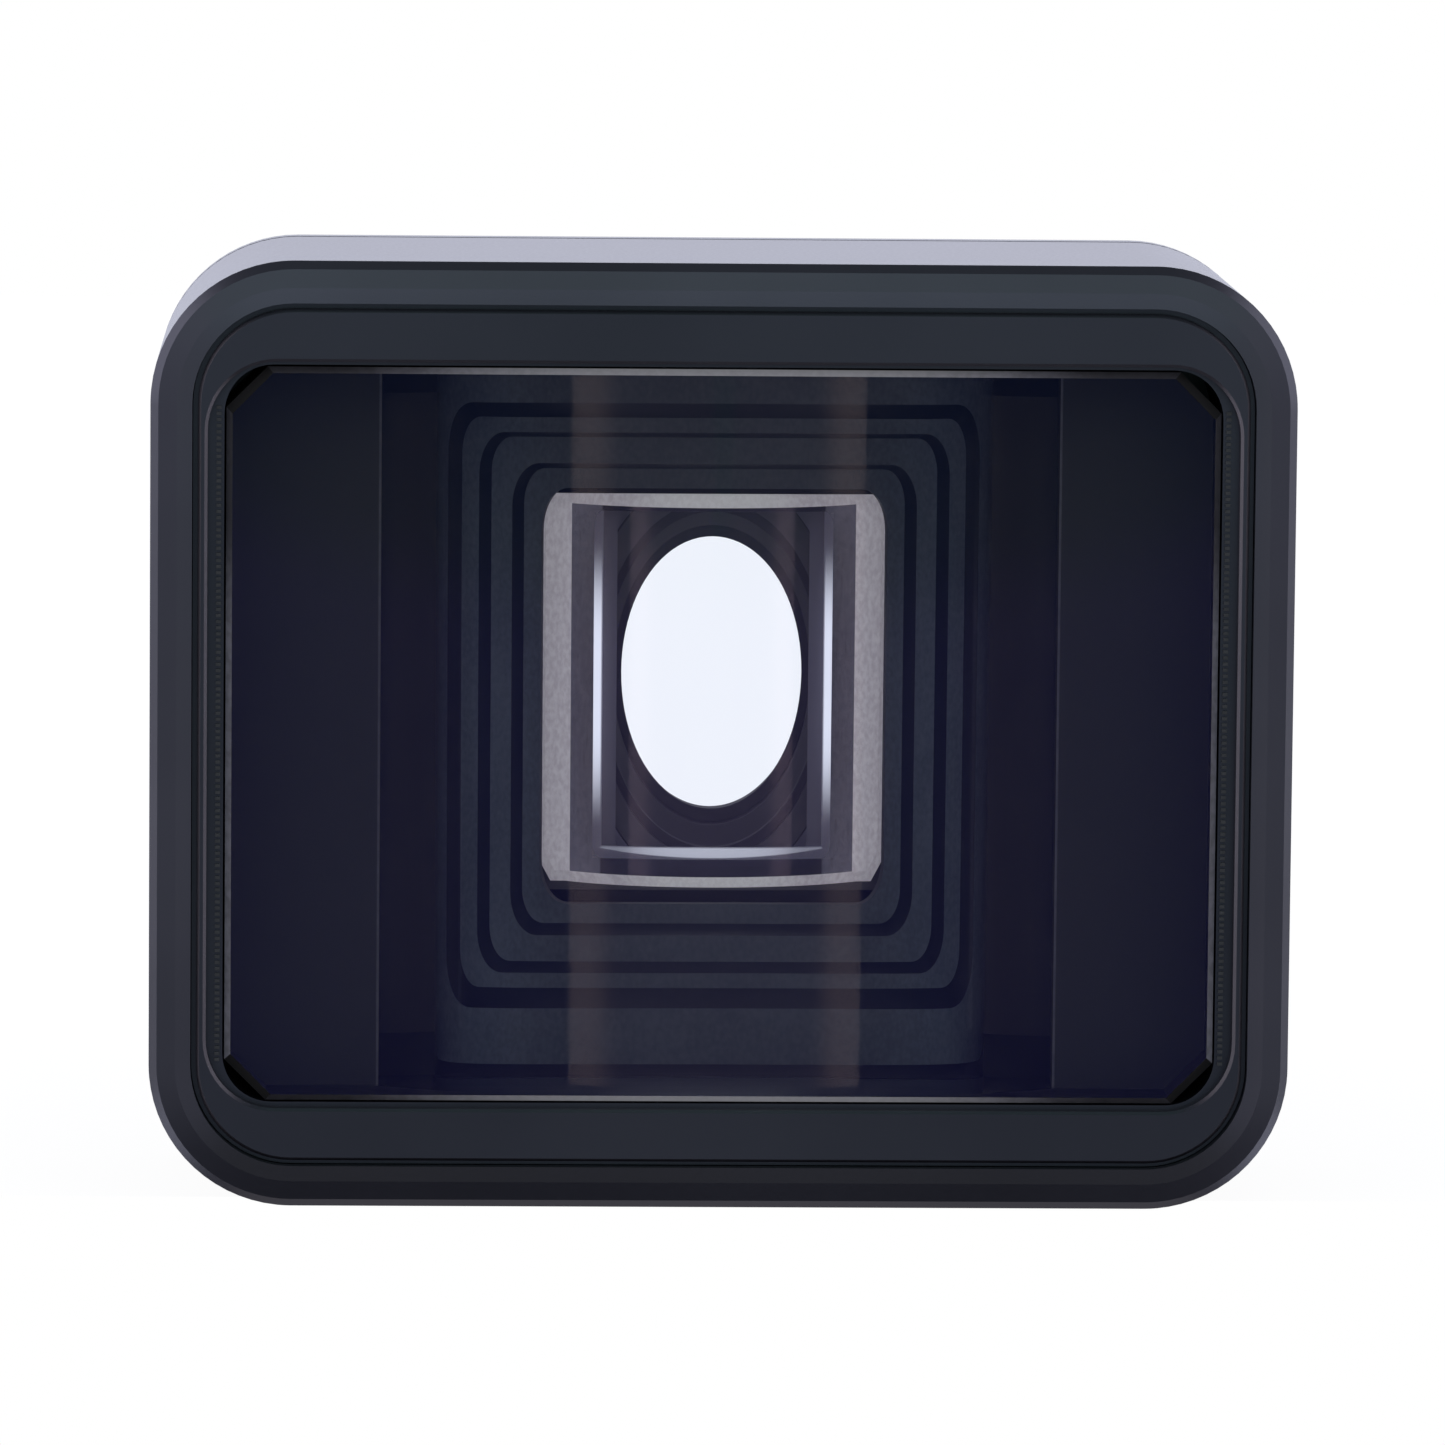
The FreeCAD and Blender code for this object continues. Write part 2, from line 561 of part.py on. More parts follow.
def make_front_frame():
    """The black frame that carries the front lens. A rebate round its face leaves a dark seam,
    and a ledge lies beside the lens."""
    body = new_body("front_frame")
    outside = grown(POCKET, "-frame_fit")
    block(body, "Block", "seam_depth", "frame_depth - seam_depth", outside)
    face = grown(POCKET, "-frame_fit - seam_gap")
    block(body, "Face", "0", "seam_depth", face)
    hollow(body, "Window", "0", "window_step", WINDOW)
    throat_depth = f"{PAD_SEAT} - window_step"
    hollow(body, "LensPocket", "window_step", throat_depth, LENS_POCKET)
    hollow(body, "Throat", PAD_SEAT, f"frame_depth - {PAD_SEAT}", THROAT)
    bevel(body, "FaceEdges", lambda e: at_station(e, "0"), "window_bevel")
    return body


def plan_outline(body, name, points, arc):
    """A lens's outline in plan, padded to both sides of the axis by the given height."""
    sketch = sketch_along(body, name)
    outline(sketch, [(x, behind(station)) for x, station in points], arc)
    return sketch


def pad_both_sides(body, name, sketch, height):
    made = body.newObject("PartDesign::Pad", name)
    made.Profile = sketch
    made.SideType = "Symmetric"
    bind(made, "Length", height)
    return settle(body, made)


def make_front_lens():
    """A wide block of glass, flat in front and hollowed behind to a concave cylinder whose
    axis is upright. Two flat lands are left beside the hollow."""
    body = new_body("front_lens")
    sag = "(front_lens_edge - front_lens_centre)"
    chord = f"sqrt(front_lens_radius ^ 2 - (front_lens_radius - {sag}) ^ 2)"
    half = f"{FRONT_LENS[0]} / 2"
    points = [
        (f"-({half})", "front_lens_recess"),
        (half, "front_lens_recess"),
        (half, LENS_BACK),
        (chord, LENS_BACK),
        (f"-{chord}", LENS_BACK),
        (f"-({half})", LENS_BACK),
    ]
    sketch = plan_outline(body, "Plan", points, {3: ("front_lens_radius", False)})
    pad_both_sides(body, "Glass", sketch, FRONT_LENS[1])
    whole = body.Shape.BoundBox
    at_corner = lambda e: upright(e) and abs(e.BoundBox.XMin) > whole.XMax - 1e-3
    base = (body.Tip, edges_where(body, at_corner))
    corners = body.newObject("PartDesign::Fillet", "Corners")
    corners.Base = base
    bind(corners, "Radius", "front_lens_corner")
    settle(body, corners)
    bevel(body, "GroundEdge", lambda e: at_station(e, "front_lens_recess"), "front_lens_bevel")
    return body


def make_front_lens_pads():
    """Two thin strips between the lens's lands and the frame's seats."""
    body = new_body("front_lens_pads", many=True)
    width = f"({LENS_POCKET[0]} - 2 * lens_pad_margin)"
    height = f"({LENS_POCKET[1]} - 2 * front_lens_corner - 2 * lens_pad_margin)"
    block(body, "Strip", LENS_BACK, "lens_pad_thick", (width, height, "lens_pad_margin"))
    gap = (f"{THROAT[0]} + 2 * lens_pad_margin", f"{height} + 2 * lens_pad_margin")
    hollow(body, "Gap", LENS_BACK, "lens_pad_thick", (*gap, "lens_pad_margin"))
    return body


def make_stepped_baffle():
    """Four openings, each smaller than the one before, stop stray light between the lenses."""
    body = new_body("stepped_baffle")
    flange = grown(FLANGE_POCKET, "-flange_fit")
    block(body, "Flange", BAFFLE_FRONT, f"{FLANGE_BACK} - {BAFFLE_FRONT}", flange)
    reach = f"{SECOND_BACK} + step_floor - {FLANGE_BACK}"
    block(body, "SecondWall", FLANGE_BACK, reach, grown(SECOND, "step_wall"))
    reach = f"{BAFFLE_BACK} - {SECOND_BACK} - step_floor"
    block(body, "ThirdWall", f"({SECOND_BACK} + step_floor)", reach, grown(THIRD, "step_wall"))
    hollow(body, "Mouth", BAFFLE_FRONT, "mouth_depth", MOUTH, "-mouth_draft")
    hollow(body, "SecondStep", MOUTH_BACK, "second_depth", SECOND, "-step_draft")
    hollow(body, "ThirdStep", SECOND_BACK, "third_depth", THIRD, "-step_draft")
    hollow(body, "LastOpening", THIRD_BACK, "step_floor", LAST)
    return body


def round_in_eight(sketch, diameter):
    """A circle in eight arcs, so that it lofts edge for edge from a rounded rectangle."""
    r = worth(diameter) / 2
    turns = [-120, -60, -30, 30, 60, 120, 150, 210]
    middle = FreeCAD.Vector(0, 0, 0)
    circle = Part.Circle(middle, FreeCAD.Vector(0, 0, 1), r)
    for start, stop in zip(turns, [*turns[1:], 240]):
        arc = Part.ArcOfCircle(circle, math.radians(start), math.radians(stop))
        sketch.addGeometry(arc, False)
    for n in range(7):
        sketch.addConstraint(Sketcher.Constraint("Coincident", n, 3, -1, 1))
    sketch.addConstraint(Sketcher.Constraint("Equal", 0, 7))
    for n, start in enumerate(turns):
        sketch.addConstraint(Sketcher.Constraint("Coincident", (n - 1) % 8, 2, n, 1))
        across = f"{math.cos(math.radians(start)):.6f} * {diameter} / 2"
        measure(sketch, f"across{n}", "DistanceX", -1, 1, n, 1, across)
    measure(sketch, "diameter", "Diameter", 0, diameter)


def make_rear_housing():
    """A plate the size of the block, a smaller block behind it that tapers to a round end, and
    a threaded neck. Inside are the seats for the cell and for the swivelling mount."""
    body = new_body("rear_housing")
    block(body, "Plate", SEAM, "plate_thick", OUTSIDE)
    bevel(body, "PlateEdges", lambda e: at_station(e, PLATE_BACK), "edge_bevel")
    bevel(body, "SeamEdge", lambda e: at_station(e, SEAM), "seam_bevel")
    spigot = grown(FLANGE_POCKET, "-flange_fit")
    block(body, "Spigot", SPIGOT_FRONT, "spigot_length", spigot)
    block(body, "RearBlock", PLATE_BACK, f"{BLOCK_BACK} - {PLATE_BACK}", REAR_BLOCK)
    wide = sketch_across(body, "TaperStart", BLOCK_BACK)
    rounded_rectangle(wide, *REAR_BLOCK)
    narrow = sketch_across(body, "TaperEnd", TAPER_BACK)
    round_in_eight(narrow, TAPER_END)
    taper = body.newObject("PartDesign::AdditiveLoft", "Taper")
    taper.Profile = wide
    taper.Sections = [narrow]
    taper.Ruled = True
    settle(body, taper)
    neck = sketch_across(body, "NeckCircle", TAPER_BACK)
    circles(neck, NECK)
    pad(body, "Neck", neck, "neck_length")

    hollow(body, "FlangeCavity", SPIGOT_FRONT, f"{CELL_SEAT} - {SPIGOT_FRONT}", REAR_CAVITY)
    box = grown(CELL_BOX, "cell_fit")
    hollow(body, "CellHole", CELL_SEAT, f"{CELL_BACK} + cell_fit - {CELL_SEAT}", box)
    hollow(body, "ExitWindow", f"({CELL_BACK} + cell_fit)", "seat_wall", EXIT_WINDOW)
    depth = f"{NECK_BACK} - {WASHER_SEAT}"
    drill(body, "NeckBore", WASHER_SEAT, depth, NECK_BORE, [("0", "0")])

    seat, clear = COVER_HEAD_SEAT, "2 * screw_fit"
    drill(body, "HeadSinks", seat, f"{PLATE_BACK} - {seat}", f"cover_screw_head + {clear}", COVER_SCREWS)
    shank = f"cover_screw_shank + {clear}"
    drill(body, "ScrewHoles", SEAM, f"{seat} - {SEAM}", shank, COVER_SCREWS)
    shank = f"cell_screw_shank + {clear}"
    depth = f"{CELL_FRONT} + cell_screw_long + hole_spare - {CELL_SEAT}"
    drill(body, "CellScrewHoles", CELL_SEAT, depth, shank, CELL_SCREWS)
    drill(body, "PinHoles", SEAM, "dowel_in_plate", "dowel_diameter", DOWELS)
    return body


def make_rear_lens_cell():
    """A box with a flange, open in front, with the rear lens in it and a window in its back."""
    body = new_body("rear_lens_cell")
    block(body, "Flange", CELL_FRONT, "cell_flange_thick", grown(REAR_CAVITY, "-cell_fit"))
    block(body, "Box", CELL_FLANGE_BACK, f"{CELL_BACK} - {CELL_FLANGE_BACK}", CELL_BOX)
    hollow(body, "LensPocket", CELL_FRONT, f"{MASK_BACK} - {CELL_FRONT}", CELL_POCKET)
    hollow(body, "Relief", CELL_FRONT, "cell_relief_depth", grown(CELL_POCKET, "cell_relief"))
    hollow(body, "Window", MASK_BACK, "cell_back", grown(MASK_WINDOW, "cell_window_margin"))
    hole = "cell_screw_shank + 2 * screw_fit"
    drill(body, "ScrewHoles", CELL_FRONT, "cell_flange_thick", hole, CELL_SCREWS)
    return body


def make_rear_lens():
    """A block of glass, convex in front to a cylinder with an upright axis and flat behind,
    with ground lands beside the curve and a ground bevel."""
    body = new_body("rear_lens")
    half = f"{REAR_LENS[0]} / 2"
    points = [
        (f"-({half})", REAR_LAND),
        (f"-{REAR_CHORD}", REAR_LAND),
        (REAR_CHORD, REAR_LAND),
        (half, REAR_LAND),
        (half, REAR_LENS_BACK),
        (f"-({half})", REAR_LENS_BACK),
    ]
    sketch = plan_outline(body, "Plan", points, {1: ("rear_lens_radius", True)})
    pad_both_sides(body, "Glass", sketch, REAR_LENS[1])
    whole = body.Shape.BoundBox
    at_corner = lambda e: upright(e) and abs(e.BoundBox.XMin) > whole.XMax - 1e-3
    bevel(body, "Corners", at_corner, "rear_lens_corner")
    front_edges = lambda e: (
        e.BoundBox.YMax < worth(behind(REAR_LAND)) + 1e-4
        and min(abs(e.BoundBox.ZMin), abs(e.BoundBox.ZMax)) > whole.ZMax - 1e-3
    )
    bevel(body, "GroundEdge", front_edges, "rear_lens_bevel")
    return body


def make_rear_lens_mask():
    """A thin black frame between the rear lens and its cell's back wall."""
    body = new_body("rear_lens_mask")
    outside = grown(CELL_POCKET, "-cell_fit", corner="window_round")
    block(body, "Frame", REAR_LENS_BACK, "mask_thick", outside)
    hollow(body, "Window", REAR_LENS_BACK, "mask_thick", MASK_WINDOW)
    return body


# The swivelling mount and its lock ring
def make_mount_barrel():
    """A flanged tube with the mount's thread. It turns between two washers in the neck."""
    return turned(
        "mount_barrel",
        [
            (f"{MOUNT_MOUTH} / 2", MOUNT_FRONT),
            (f"{MOUNT_FLANGE} / 2", MOUNT_FRONT),
            (f"{MOUNT_FLANGE} / 2", MOUNT_FLANGE_BACK),
            (f"{SHOULDER_WIDE} / 2", MOUNT_FLANGE_BACK),
            (f"{SHOULDER_WIDE} / 2", SHOULDER),
            ("thread_diameter / 2", SHOULDER),
            ("thread_diameter / 2", f"({THREAD_END} - thread_bevel)"),
            ("thread_diameter / 2 - thread_bevel", THREAD_END),
            (f"{EXIT_BORE} / 2", THREAD_END),
            (f"{EXIT_BORE} / 2", STOP_BACK),
            (f"{MOUNT_BORE} / 2", STOP_BACK),
            (f"{MOUNT_BORE} / 2", f"({MOUNT_FRONT} + mount_mouth_depth + mount_cone)"),
            (f"{MOUNT_MOUTH} / 2", f"({MOUNT_FRONT} + mount_mouth_depth)"),
        ],
    )


def turned_ring(label, front, back, inner, outer):
    """A plain ring, from its stations and its two diameters."""
    inside, outside = f"({inner}) / 2", f"({outer}) / 2"
    return turned(label, [(inside, front), (outside, front), (outside, back), (inside, back)])


def make_lock_ring():
    """A cap that screws onto the neck and presses the mount's flange between its washers. Its
    rim has flutes for grip, and a groove in its end holds the rubber ring."""
    groove = f"({RING_BACK} - pad_sink)"
    body = turned(
        "lock_ring",
        [
            (f"{RING_BORE} / 2", RING_FRONT),
            (f"{RING} / 2 - ring_edge", RING_FRONT),
            (f"{RING} / 2", f"({RING_FRONT} + ring_edge)"),
            (f"{RING} / 2", f"({RING_BACK} - ring_edge)"),
            (f"{RING} / 2 - ring_edge", RING_BACK),
            (f"{PAD_OUTER} / 2 + pad_fit", RING_BACK),
            (f"{PAD_OUTER} / 2 + pad_fit", groove),
            (f"{PAD_INNER} / 2 - pad_fit", groove),
            (f"{PAD_INNER} / 2 - pad_fit", RING_BACK),
            (f"{RING_HOLE} / 2", RING_BACK),
            (f"{RING_HOLE} / 2", RING_SEAT),
            (f"{RING_BORE} / 2", RING_SEAT),
        ],
    )
    middle = f"({RING_FRONT} + {RING_BACK}) / 2"
    hole = sketch_along(body, "StopScrewCircle")
    hole_y = behind(middle)
    centre = FreeCAD.Vector(0, worth(hole_y), 0)
    hole.addGeometry(Part.Circle(centre, FreeCAD.Vector(0, 0, 1), worth("stop_screw") / 2), False)
    hole.addConstraint(Sketcher.Constraint("PointOnObject", 0, 3, -2))
    measure(hole, "along", "DistanceY", -1, 1, 0, 3, hole_y)
    measure(hole, "diameter", "Diameter", 0, "stop_screw + 2 * screw_fit")
    bind(hole, "AttachmentOffset.Base.z", f"{RING} / 2")
    pocket(body, "StopScrewHole", hole, "ring_rim + hole_spare")
    flute = sketch_across(body, "FluteCircle", f"({RING_FRONT} + knurl_margin)")
    reach = f"{RING} / 2 + knurl_radius - knurl_depth"
    half_step = "180 / knurl_count"
    across = f"({reach}) * sin({half_step} * 1deg)"
    up = f"({reach}) * cos({half_step} * 1deg)"
    circles(flute, "2 * knurl_radius", [(across, up)])
    depth = f"{RING_BACK} - {RING_FRONT} - 2 * knurl_margin"
    one = pocket(body, "Flute", flute, depth)
    around = body.newObject("PartDesign::PolarPattern", "Flutes")
    around.Originals = [one]
    around.Axis = (flute, ["N_Axis"])
    around.Angle = 360
    bind(around, "Occurrences", "knurl_count")
    settle(body, around)
    return body


def make_stop_screw():
    """A small screw in the lock ring's rim that keeps the ring on its neck."""
    body = new_body("ring_stop_screw")
    sketch = sketch_along(body, "Circle")
    along = behind(f"({RING_FRONT} + {RING_BACK}) / 2")
    centre = FreeCAD.Vector(0, worth(along), 0)
    sketch.addGeometry(Part.Circle(centre, FreeCAD.Vector(0, 0, 1), worth("stop_screw") / 2), False)
    sketch.addConstraint(Sketcher.Constraint("PointOnObject", 0, 3, -2))
    measure(sketch, "along", "DistanceY", -1, 1, 0, 3, along)
    measure(sketch, "diameter", "Diameter", 0, "stop_screw")
    low = f"{RING} / 2 - knurl_depth - stop_screw_sink - stop_screw_long"
    bind(sketch, "AttachmentOffset.Base.z", low)
    pad(body, "Screw", sketch, "stop_screw_long", to_rear=False)
    return body


def make_screws(label, places, seat, shank, head, head_high, long):
    """Socket screws driven from the rear, or from the front where the head's height is
    negative: heads on the station seat, shanks on the other side of it."""
    body = new_body(label, many=True)
    from_front = head_high.startswith("-")
    high = head_high.lstrip("-")
    shanks = sketch_across(body, "ShankCircles", seat)
    circles(shanks, shank, places)
    pad(body, "Shanks", shanks, long, to_rear=from_front)
    heads = sketch_across(body, "HeadCircles", seat)
    circles(heads, head, places)
    pad(body, "Heads", heads, high, to_rear=not from_front)
    end = f"({seat} - {high})" if from_front else f"({seat} + {high})"
    width = f"{head} * socket_width"
    drill(body, "Sockets", end, "socket_depth", width, places, to_rear=from_front)
    return body


def make_dowels():
    """Two pins that line up the housings."""
    body = new_body("locating_pins", many=True)
    sketch = sketch_across(body, "Circles", DOWEL_FRONT)
    circles(sketch, "dowel_diameter", DOWELS)
    pad(body, "Pins", sketch, "dowel_long")
    return body


def make_all():
    seal = grown(POCKET, "-frame_fit")
    baffle_seal = grown(FLANGE_POCKET, "-flange_fit")
    cell_seal = grown(REAR_CAVITY, "-cell_fit")
    return [
        make_front_housing(),
        make_front_frame(),
        flat_seal("frame_seal", "frame_depth", "seal_thick", seal),
        make_front_lens(),
        make_front_lens_pads(),
        make_stepped_baffle(),
        flat_seal("baffle_seal", FLANGE_BACK, "seal_thick", baffle_seal),
        make_rear_housing(),
        flat_seal("cell_seal", CELL_FLANGE_BACK, "cell_seal_thick", cell_seal),
        make_rear_lens_cell(),
        make_rear_lens(),
        make_rear_lens_mask(),
        make_screws(
            "cell_screws",
            CELL_SCREWS,
            CELL_FRONT,
            "cell_screw_shank",
            "cell_screw_head",
            "-cell_screw_head_high",
            "cell_screw_long",
        ),
        make_screws(
            "cover_screws",
            COVER_SCREWS,
            COVER_HEAD_SEAT,
            "cover_screw_shank",
            "cover_screw_head",
            "cover_screw_head_high",
            "cover_screw_long",
        ),
        make_dowels(),
        turned_ring("slip_washer", WASHER_SEAT, MOUNT_FRONT, WASHER_BORE, WASHER),
        make_mount_barrel(),
        turned_ring(
            "exit_stop",
            STOP_FRONT,
            STOP_BACK,
            STOP_HOLE,
            f"{MOUNT_BORE} - 2 * exit_stop_fit",
        ),
        turned_ring("thrust_washer", MOUNT_FLANGE_BACK, RING_SEAT, WASHER_BORE, WASHER),
        make_lock_ring(),
        make_stop_screw(),
        turned_ring(
            "face_pad",
            f"({RING_BACK} - pad_sink)",
            f"({RING_BACK} - pad_sink + pad_thick)",
            PAD_INNER,
            PAD_OUTER,
        ),
    ]


bodies = make_all()
doc.recompute()
for item in doc.Objects:
    if {"Invalid", "Error"} & set(item.State):
        raise SystemExit(f"{item.Label} ({item.Name}) failed: {item.State}")
for body in bodies:
    if body.Shape.isNull() or not body.Shape.isValid():
        raise SystemExit(f"{body.Label} has no valid shape")
os.makedirs(OUT, exist_ok=True)
for body in bodies:
    body.Shape.exportStep(f"{OUT}/{body.Label}.step")
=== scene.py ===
"""The looks of an anamorphic phone lens: a dark alloy block with round corners, a wide glass
cylinder lens in front, a stepped black baffle and a second cylinder lens deep inside, and a
threaded mount with a fluted lock ring behind. Y runs from the front face to the mount.
"""
import math

import bpy
from mathutils import Matrix, Vector


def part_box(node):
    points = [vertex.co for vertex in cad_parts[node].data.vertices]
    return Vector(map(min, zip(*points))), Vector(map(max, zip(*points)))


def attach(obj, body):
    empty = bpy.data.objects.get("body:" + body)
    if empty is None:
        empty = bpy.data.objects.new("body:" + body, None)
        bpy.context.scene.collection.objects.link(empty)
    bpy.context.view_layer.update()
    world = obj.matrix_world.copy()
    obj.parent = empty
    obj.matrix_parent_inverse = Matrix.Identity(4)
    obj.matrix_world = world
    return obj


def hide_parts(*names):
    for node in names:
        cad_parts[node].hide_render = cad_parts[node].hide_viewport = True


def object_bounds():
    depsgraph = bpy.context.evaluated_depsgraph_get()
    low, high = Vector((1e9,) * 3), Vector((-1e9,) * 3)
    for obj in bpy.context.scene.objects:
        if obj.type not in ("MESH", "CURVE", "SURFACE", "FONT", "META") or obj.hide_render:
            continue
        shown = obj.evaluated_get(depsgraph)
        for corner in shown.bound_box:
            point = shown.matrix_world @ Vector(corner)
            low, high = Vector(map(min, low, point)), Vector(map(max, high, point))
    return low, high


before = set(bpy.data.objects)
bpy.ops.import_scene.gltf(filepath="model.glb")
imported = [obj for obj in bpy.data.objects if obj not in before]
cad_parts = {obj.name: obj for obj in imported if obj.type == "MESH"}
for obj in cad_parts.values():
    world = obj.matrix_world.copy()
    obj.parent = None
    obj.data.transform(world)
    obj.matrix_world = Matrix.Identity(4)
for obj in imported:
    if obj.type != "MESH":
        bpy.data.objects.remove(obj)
cad_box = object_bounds()
scene = bpy.context.scene
MM = 0.001


# The outer block is one alloy casting milled all over, in two halves that meet at a fine seam.
# It is blasted and anodised a blue black, which leaves a fine satin grain under a hard skin.
# At a shallow angle that skin mirrors what is behind it.
class Shade:
    """A socket of a node tree. Python's operators on it add Math nodes."""

    def __init__(self, tree, socket=None):
        self.tree, self.socket = tree, socket

    def node(self, kind, settings, sockets, out=0):
        """Adds a node, sets it up, fills or links its sockets and gives back one output."""
        made = self.tree.nodes.new("ShaderNode" + kind)
        for name, value in settings.items():
            setattr(made, name, value)
        for key, value in sockets.items():
            if isinstance(value, Shade):
                self.tree.links.new(value.socket, made.inputs[key])
            else:
                made.inputs[key].default_value = value
        return Shade(self.tree, made.outputs[out])

    def feed(self, shader, name):
        """Links this to a socket of the shader."""
        self.tree.links.new(self.socket, shader.inputs[name])

    def maths(self, operation, first, second):
        return self.node("Math", {"operation": operation}, {0: first, 1: second})

    def __add__(self, other):
        return self.maths("ADD", self, other)

    def __sub__(self, other):
        return self.maths("SUBTRACT", self, other)

    def __rsub__(self, other):
        return self.maths("SUBTRACT", other, self)

    def __mul__(self, other):
        return self.maths("MULTIPLY", self, other)

    def __truediv__(self, other):
        return self.maths("DIVIDE", self, other)

    def __pow__(self, other):
        return self.maths("POWER", self, other)

    __radd__, __rmul__ = __add__, __mul__

    def rise(self, low, high):
        """A smooth step from 0 to 1 while this goes from low to high."""
        ends = {"Value": self, "From Min": low, "From Max": high}
        return self.node("MapRange", {"interpolation_type": "SMOOTHSTEP"}, ends)

    def span(self, half):
        """1 where this lies between -half and half, and 0 beyond."""
        return self.node("Math", {"operation": "COMPARE"}, {0: self, 1: 0.0, 2: half})

    def about(self, middle, swing):
        """A value that swings about middle, by swing in all, while this goes from 0 to 1."""
        return (self - 0.5) * swing + middle

    def tint(self, first, second):
        """The colour that goes from first to second while this goes from 0 to 1."""
        wide = [c if isinstance(c, Shade) else (*c, 1.0) for c in (first, second)]
        return self.node("Mix", {"data_type": "RGBA"}, {0: self, 6: wide[0], 7: wide[1]}, 2)

    def mottle(self, dark, light, ends=(0.3, 0.7)):
        """Two tones mixed by this noise, with each alone beyond its end."""
        return self.rise(*ends).tint(dark, light)

    def place(self, kind="Object"):
        """Where a point lies on the object in metres, or another kind of coordinates."""
        return self.node("TexCoord", {}, {}, kind)

    def axes(self, kind="Object"):
        """The three coordinates of a point, or of a direction for the world."""
        split = self.node("SeparateXYZ", {}, {0: self.place(kind)})
        return [Shade(self.tree, axis) for axis in split.socket.node.outputs]

    def grain(self, scale, detail=2.0, stretch=(1, 1, 1)):
        """Noise from 0 to 1 on the object, drawn out along its axes by stretch."""
        drawn = self.node("Mapping", {}, {"Vector": self.place(), "Scale": stretch})
        return self.node("TexNoise", {}, {"Vector": drawn, "Scale": scale, "Detail": detail})

    def relief(self, height, distance):
        """A normal bumped by height over a distance in metres."""
        return self.node("Bump", {}, {"Height": height, "Distance": distance}, "Normal")


def finish(name, **constants):
    """A new material, with the values that are the same all over it on the shader itself."""
    material = bpy.data.materials.new(name)
    material.use_nodes = True
    shader = material.node_tree.nodes["Principled BSDF"]
    for socket, value in constants.items():
        shader.inputs[socket.replace("_", " ")].default_value = value
    return material, shader, Shade(material.node_tree)


def coat_piece(piece, material):
    """Gives a solid's piece its finish."""
    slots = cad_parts[piece].data.materials
    slots.clear()
    slots.append(material)


DARK_ALLOY, PALE_ALLOY = (0.053, 0.055, 0.074), (0.067, 0.069, 0.092)
BLACK_PAINT, GREY_PAINT = (0.012, 0.011, 0.018), (0.20, 0.19, 0.25)
ALLOY_ROUGHNESS, PAINT_ROUGHNESS, HARD_SKIN = 0.40, 0.65, 0.6
BLAST_M, EDGE_M = 2.2e-6, 0.00005
INSIDE_HALF_W, INSIDE_HALF_H = 0.0252, 0.019
INSIDE_FRONT, INSIDE_REAR = -0.0235, -0.0044
INWARD_PER_M, FACES_INWARD, FACES_FRONT = 50.0, (0.1, 0.3), (0.99, 0.998)
RIM_BACK, RIM_FRONT, RIM_LEAN, RIM_REACH = 0.0337, 0.0338, 0.2, 0.02
RIM_STRAIGHT_W, RIM_STRAIGHT_H = 0.021, 0.01625


def anodised(name, inside):
    """Blasted and anodised alloy: it drifts between two tones and has a fine grain. Inside
    the block it is painted matt in its inside colour. The land of its front rim is crowned:
    it leans outwards as much as the slope beside it."""
    material, shader, pen = finish(name, Coat_Roughness=0.16, Coat_IOR=1.6)
    x, y, z = pen.axes()
    facing_x, facing_y, facing_z = pen.axes("Normal")
    inward = -1.0 * (facing_x * x + facing_z * z) * INWARD_PER_M - facing_y
    within = x.span(INSIDE_HALF_W) * z.span(INSIDE_HALF_H) * inward.rise(*FACES_INWARD)
    within = within * y.rise(INSIDE_FRONT, INSIDE_FRONT + EDGE_M)
    outer = 1.0 - within * (1.0 - y.rise(INSIDE_REAR, INSIDE_REAR + EDGE_M))
    alloy = pen.grain(55.0, 3.0).mottle(DARK_ALLOY, PALE_ALLOY)
    outer.tint(inside, alloy).feed(shader, "Base Color")
    outer.feed(shader, "Metallic")
    (outer * HARD_SKIN).feed(shader, "Coat Weight")
    fine = pen.grain(5200.0)
    roughness = PAINT_ROUGHNESS - (PAINT_ROUGHNESS - ALLOY_ROUGHNESS) * outer
    fine.about(roughness, 0.1).feed(shader, "Roughness")
    land = (-1.0 * facing_y).rise(*FACES_FRONT) * (-1.0 * y).rise(RIM_BACK, RIM_FRONT)
    away_x = ((x * x) ** 0.5).rise(RIM_STRAIGHT_W, RIM_STRAIGHT_W + RIM_REACH)
    away_z = ((z * z) ** 0.5).rise(RIM_STRAIGHT_H, RIM_STRAIGHT_H + RIM_REACH)
    away = (away_x * away_x + away_z * away_z) ** 0.5
    fall = away * land * (RIM_REACH * RIM_LEAN / BLAST_M)
    pen.relief(fine - fall, BLAST_M).feed(shader, "Normal")
    return material


coat_piece("front_housing", anodised("front_alloy", BLACK_PAINT))
coat_piece("rear_housing", anodised("rear_alloy", GREY_PAINT))


# The front frame is a plate milled from the same alloy and pressed into the block behind a
# fine seam. It is anodised a shade darker, and its faces keep traces of the cutter's path.
FRAME_TONES = (0.048, 0.051, 0.070), (0.063, 0.066, 0.088)
FRAME_ROUGHNESS, CUTTER_M, CUTTER_PATH = 0.41, 2.5e-6, (0.25, 1.0, 6.0)


def milled_frame():
    material, shader, pen = finish(
        "frame_alloy", Metallic=1.0, Coat_Weight=0.35, Coat_Roughness=0.2, Coat_IOR=1.5
    )
    fine = pen.grain(4300.0, 3.0)
    path = pen.grain(900.0, 2.0, CUTTER_PATH)
    pen.grain(40.0, 3.0).mottle(*FRAME_TONES).feed(shader, "Base Color")
    path.about(fine.about(FRAME_ROUGHNESS, 0.08), 0.06).feed(shader, "Roughness")
    pen.relief(fine * 0.6 + path * 0.4, CUTTER_M).feed(shader, "Normal")
    return material


coat_piece("front_frame", milled_frame())


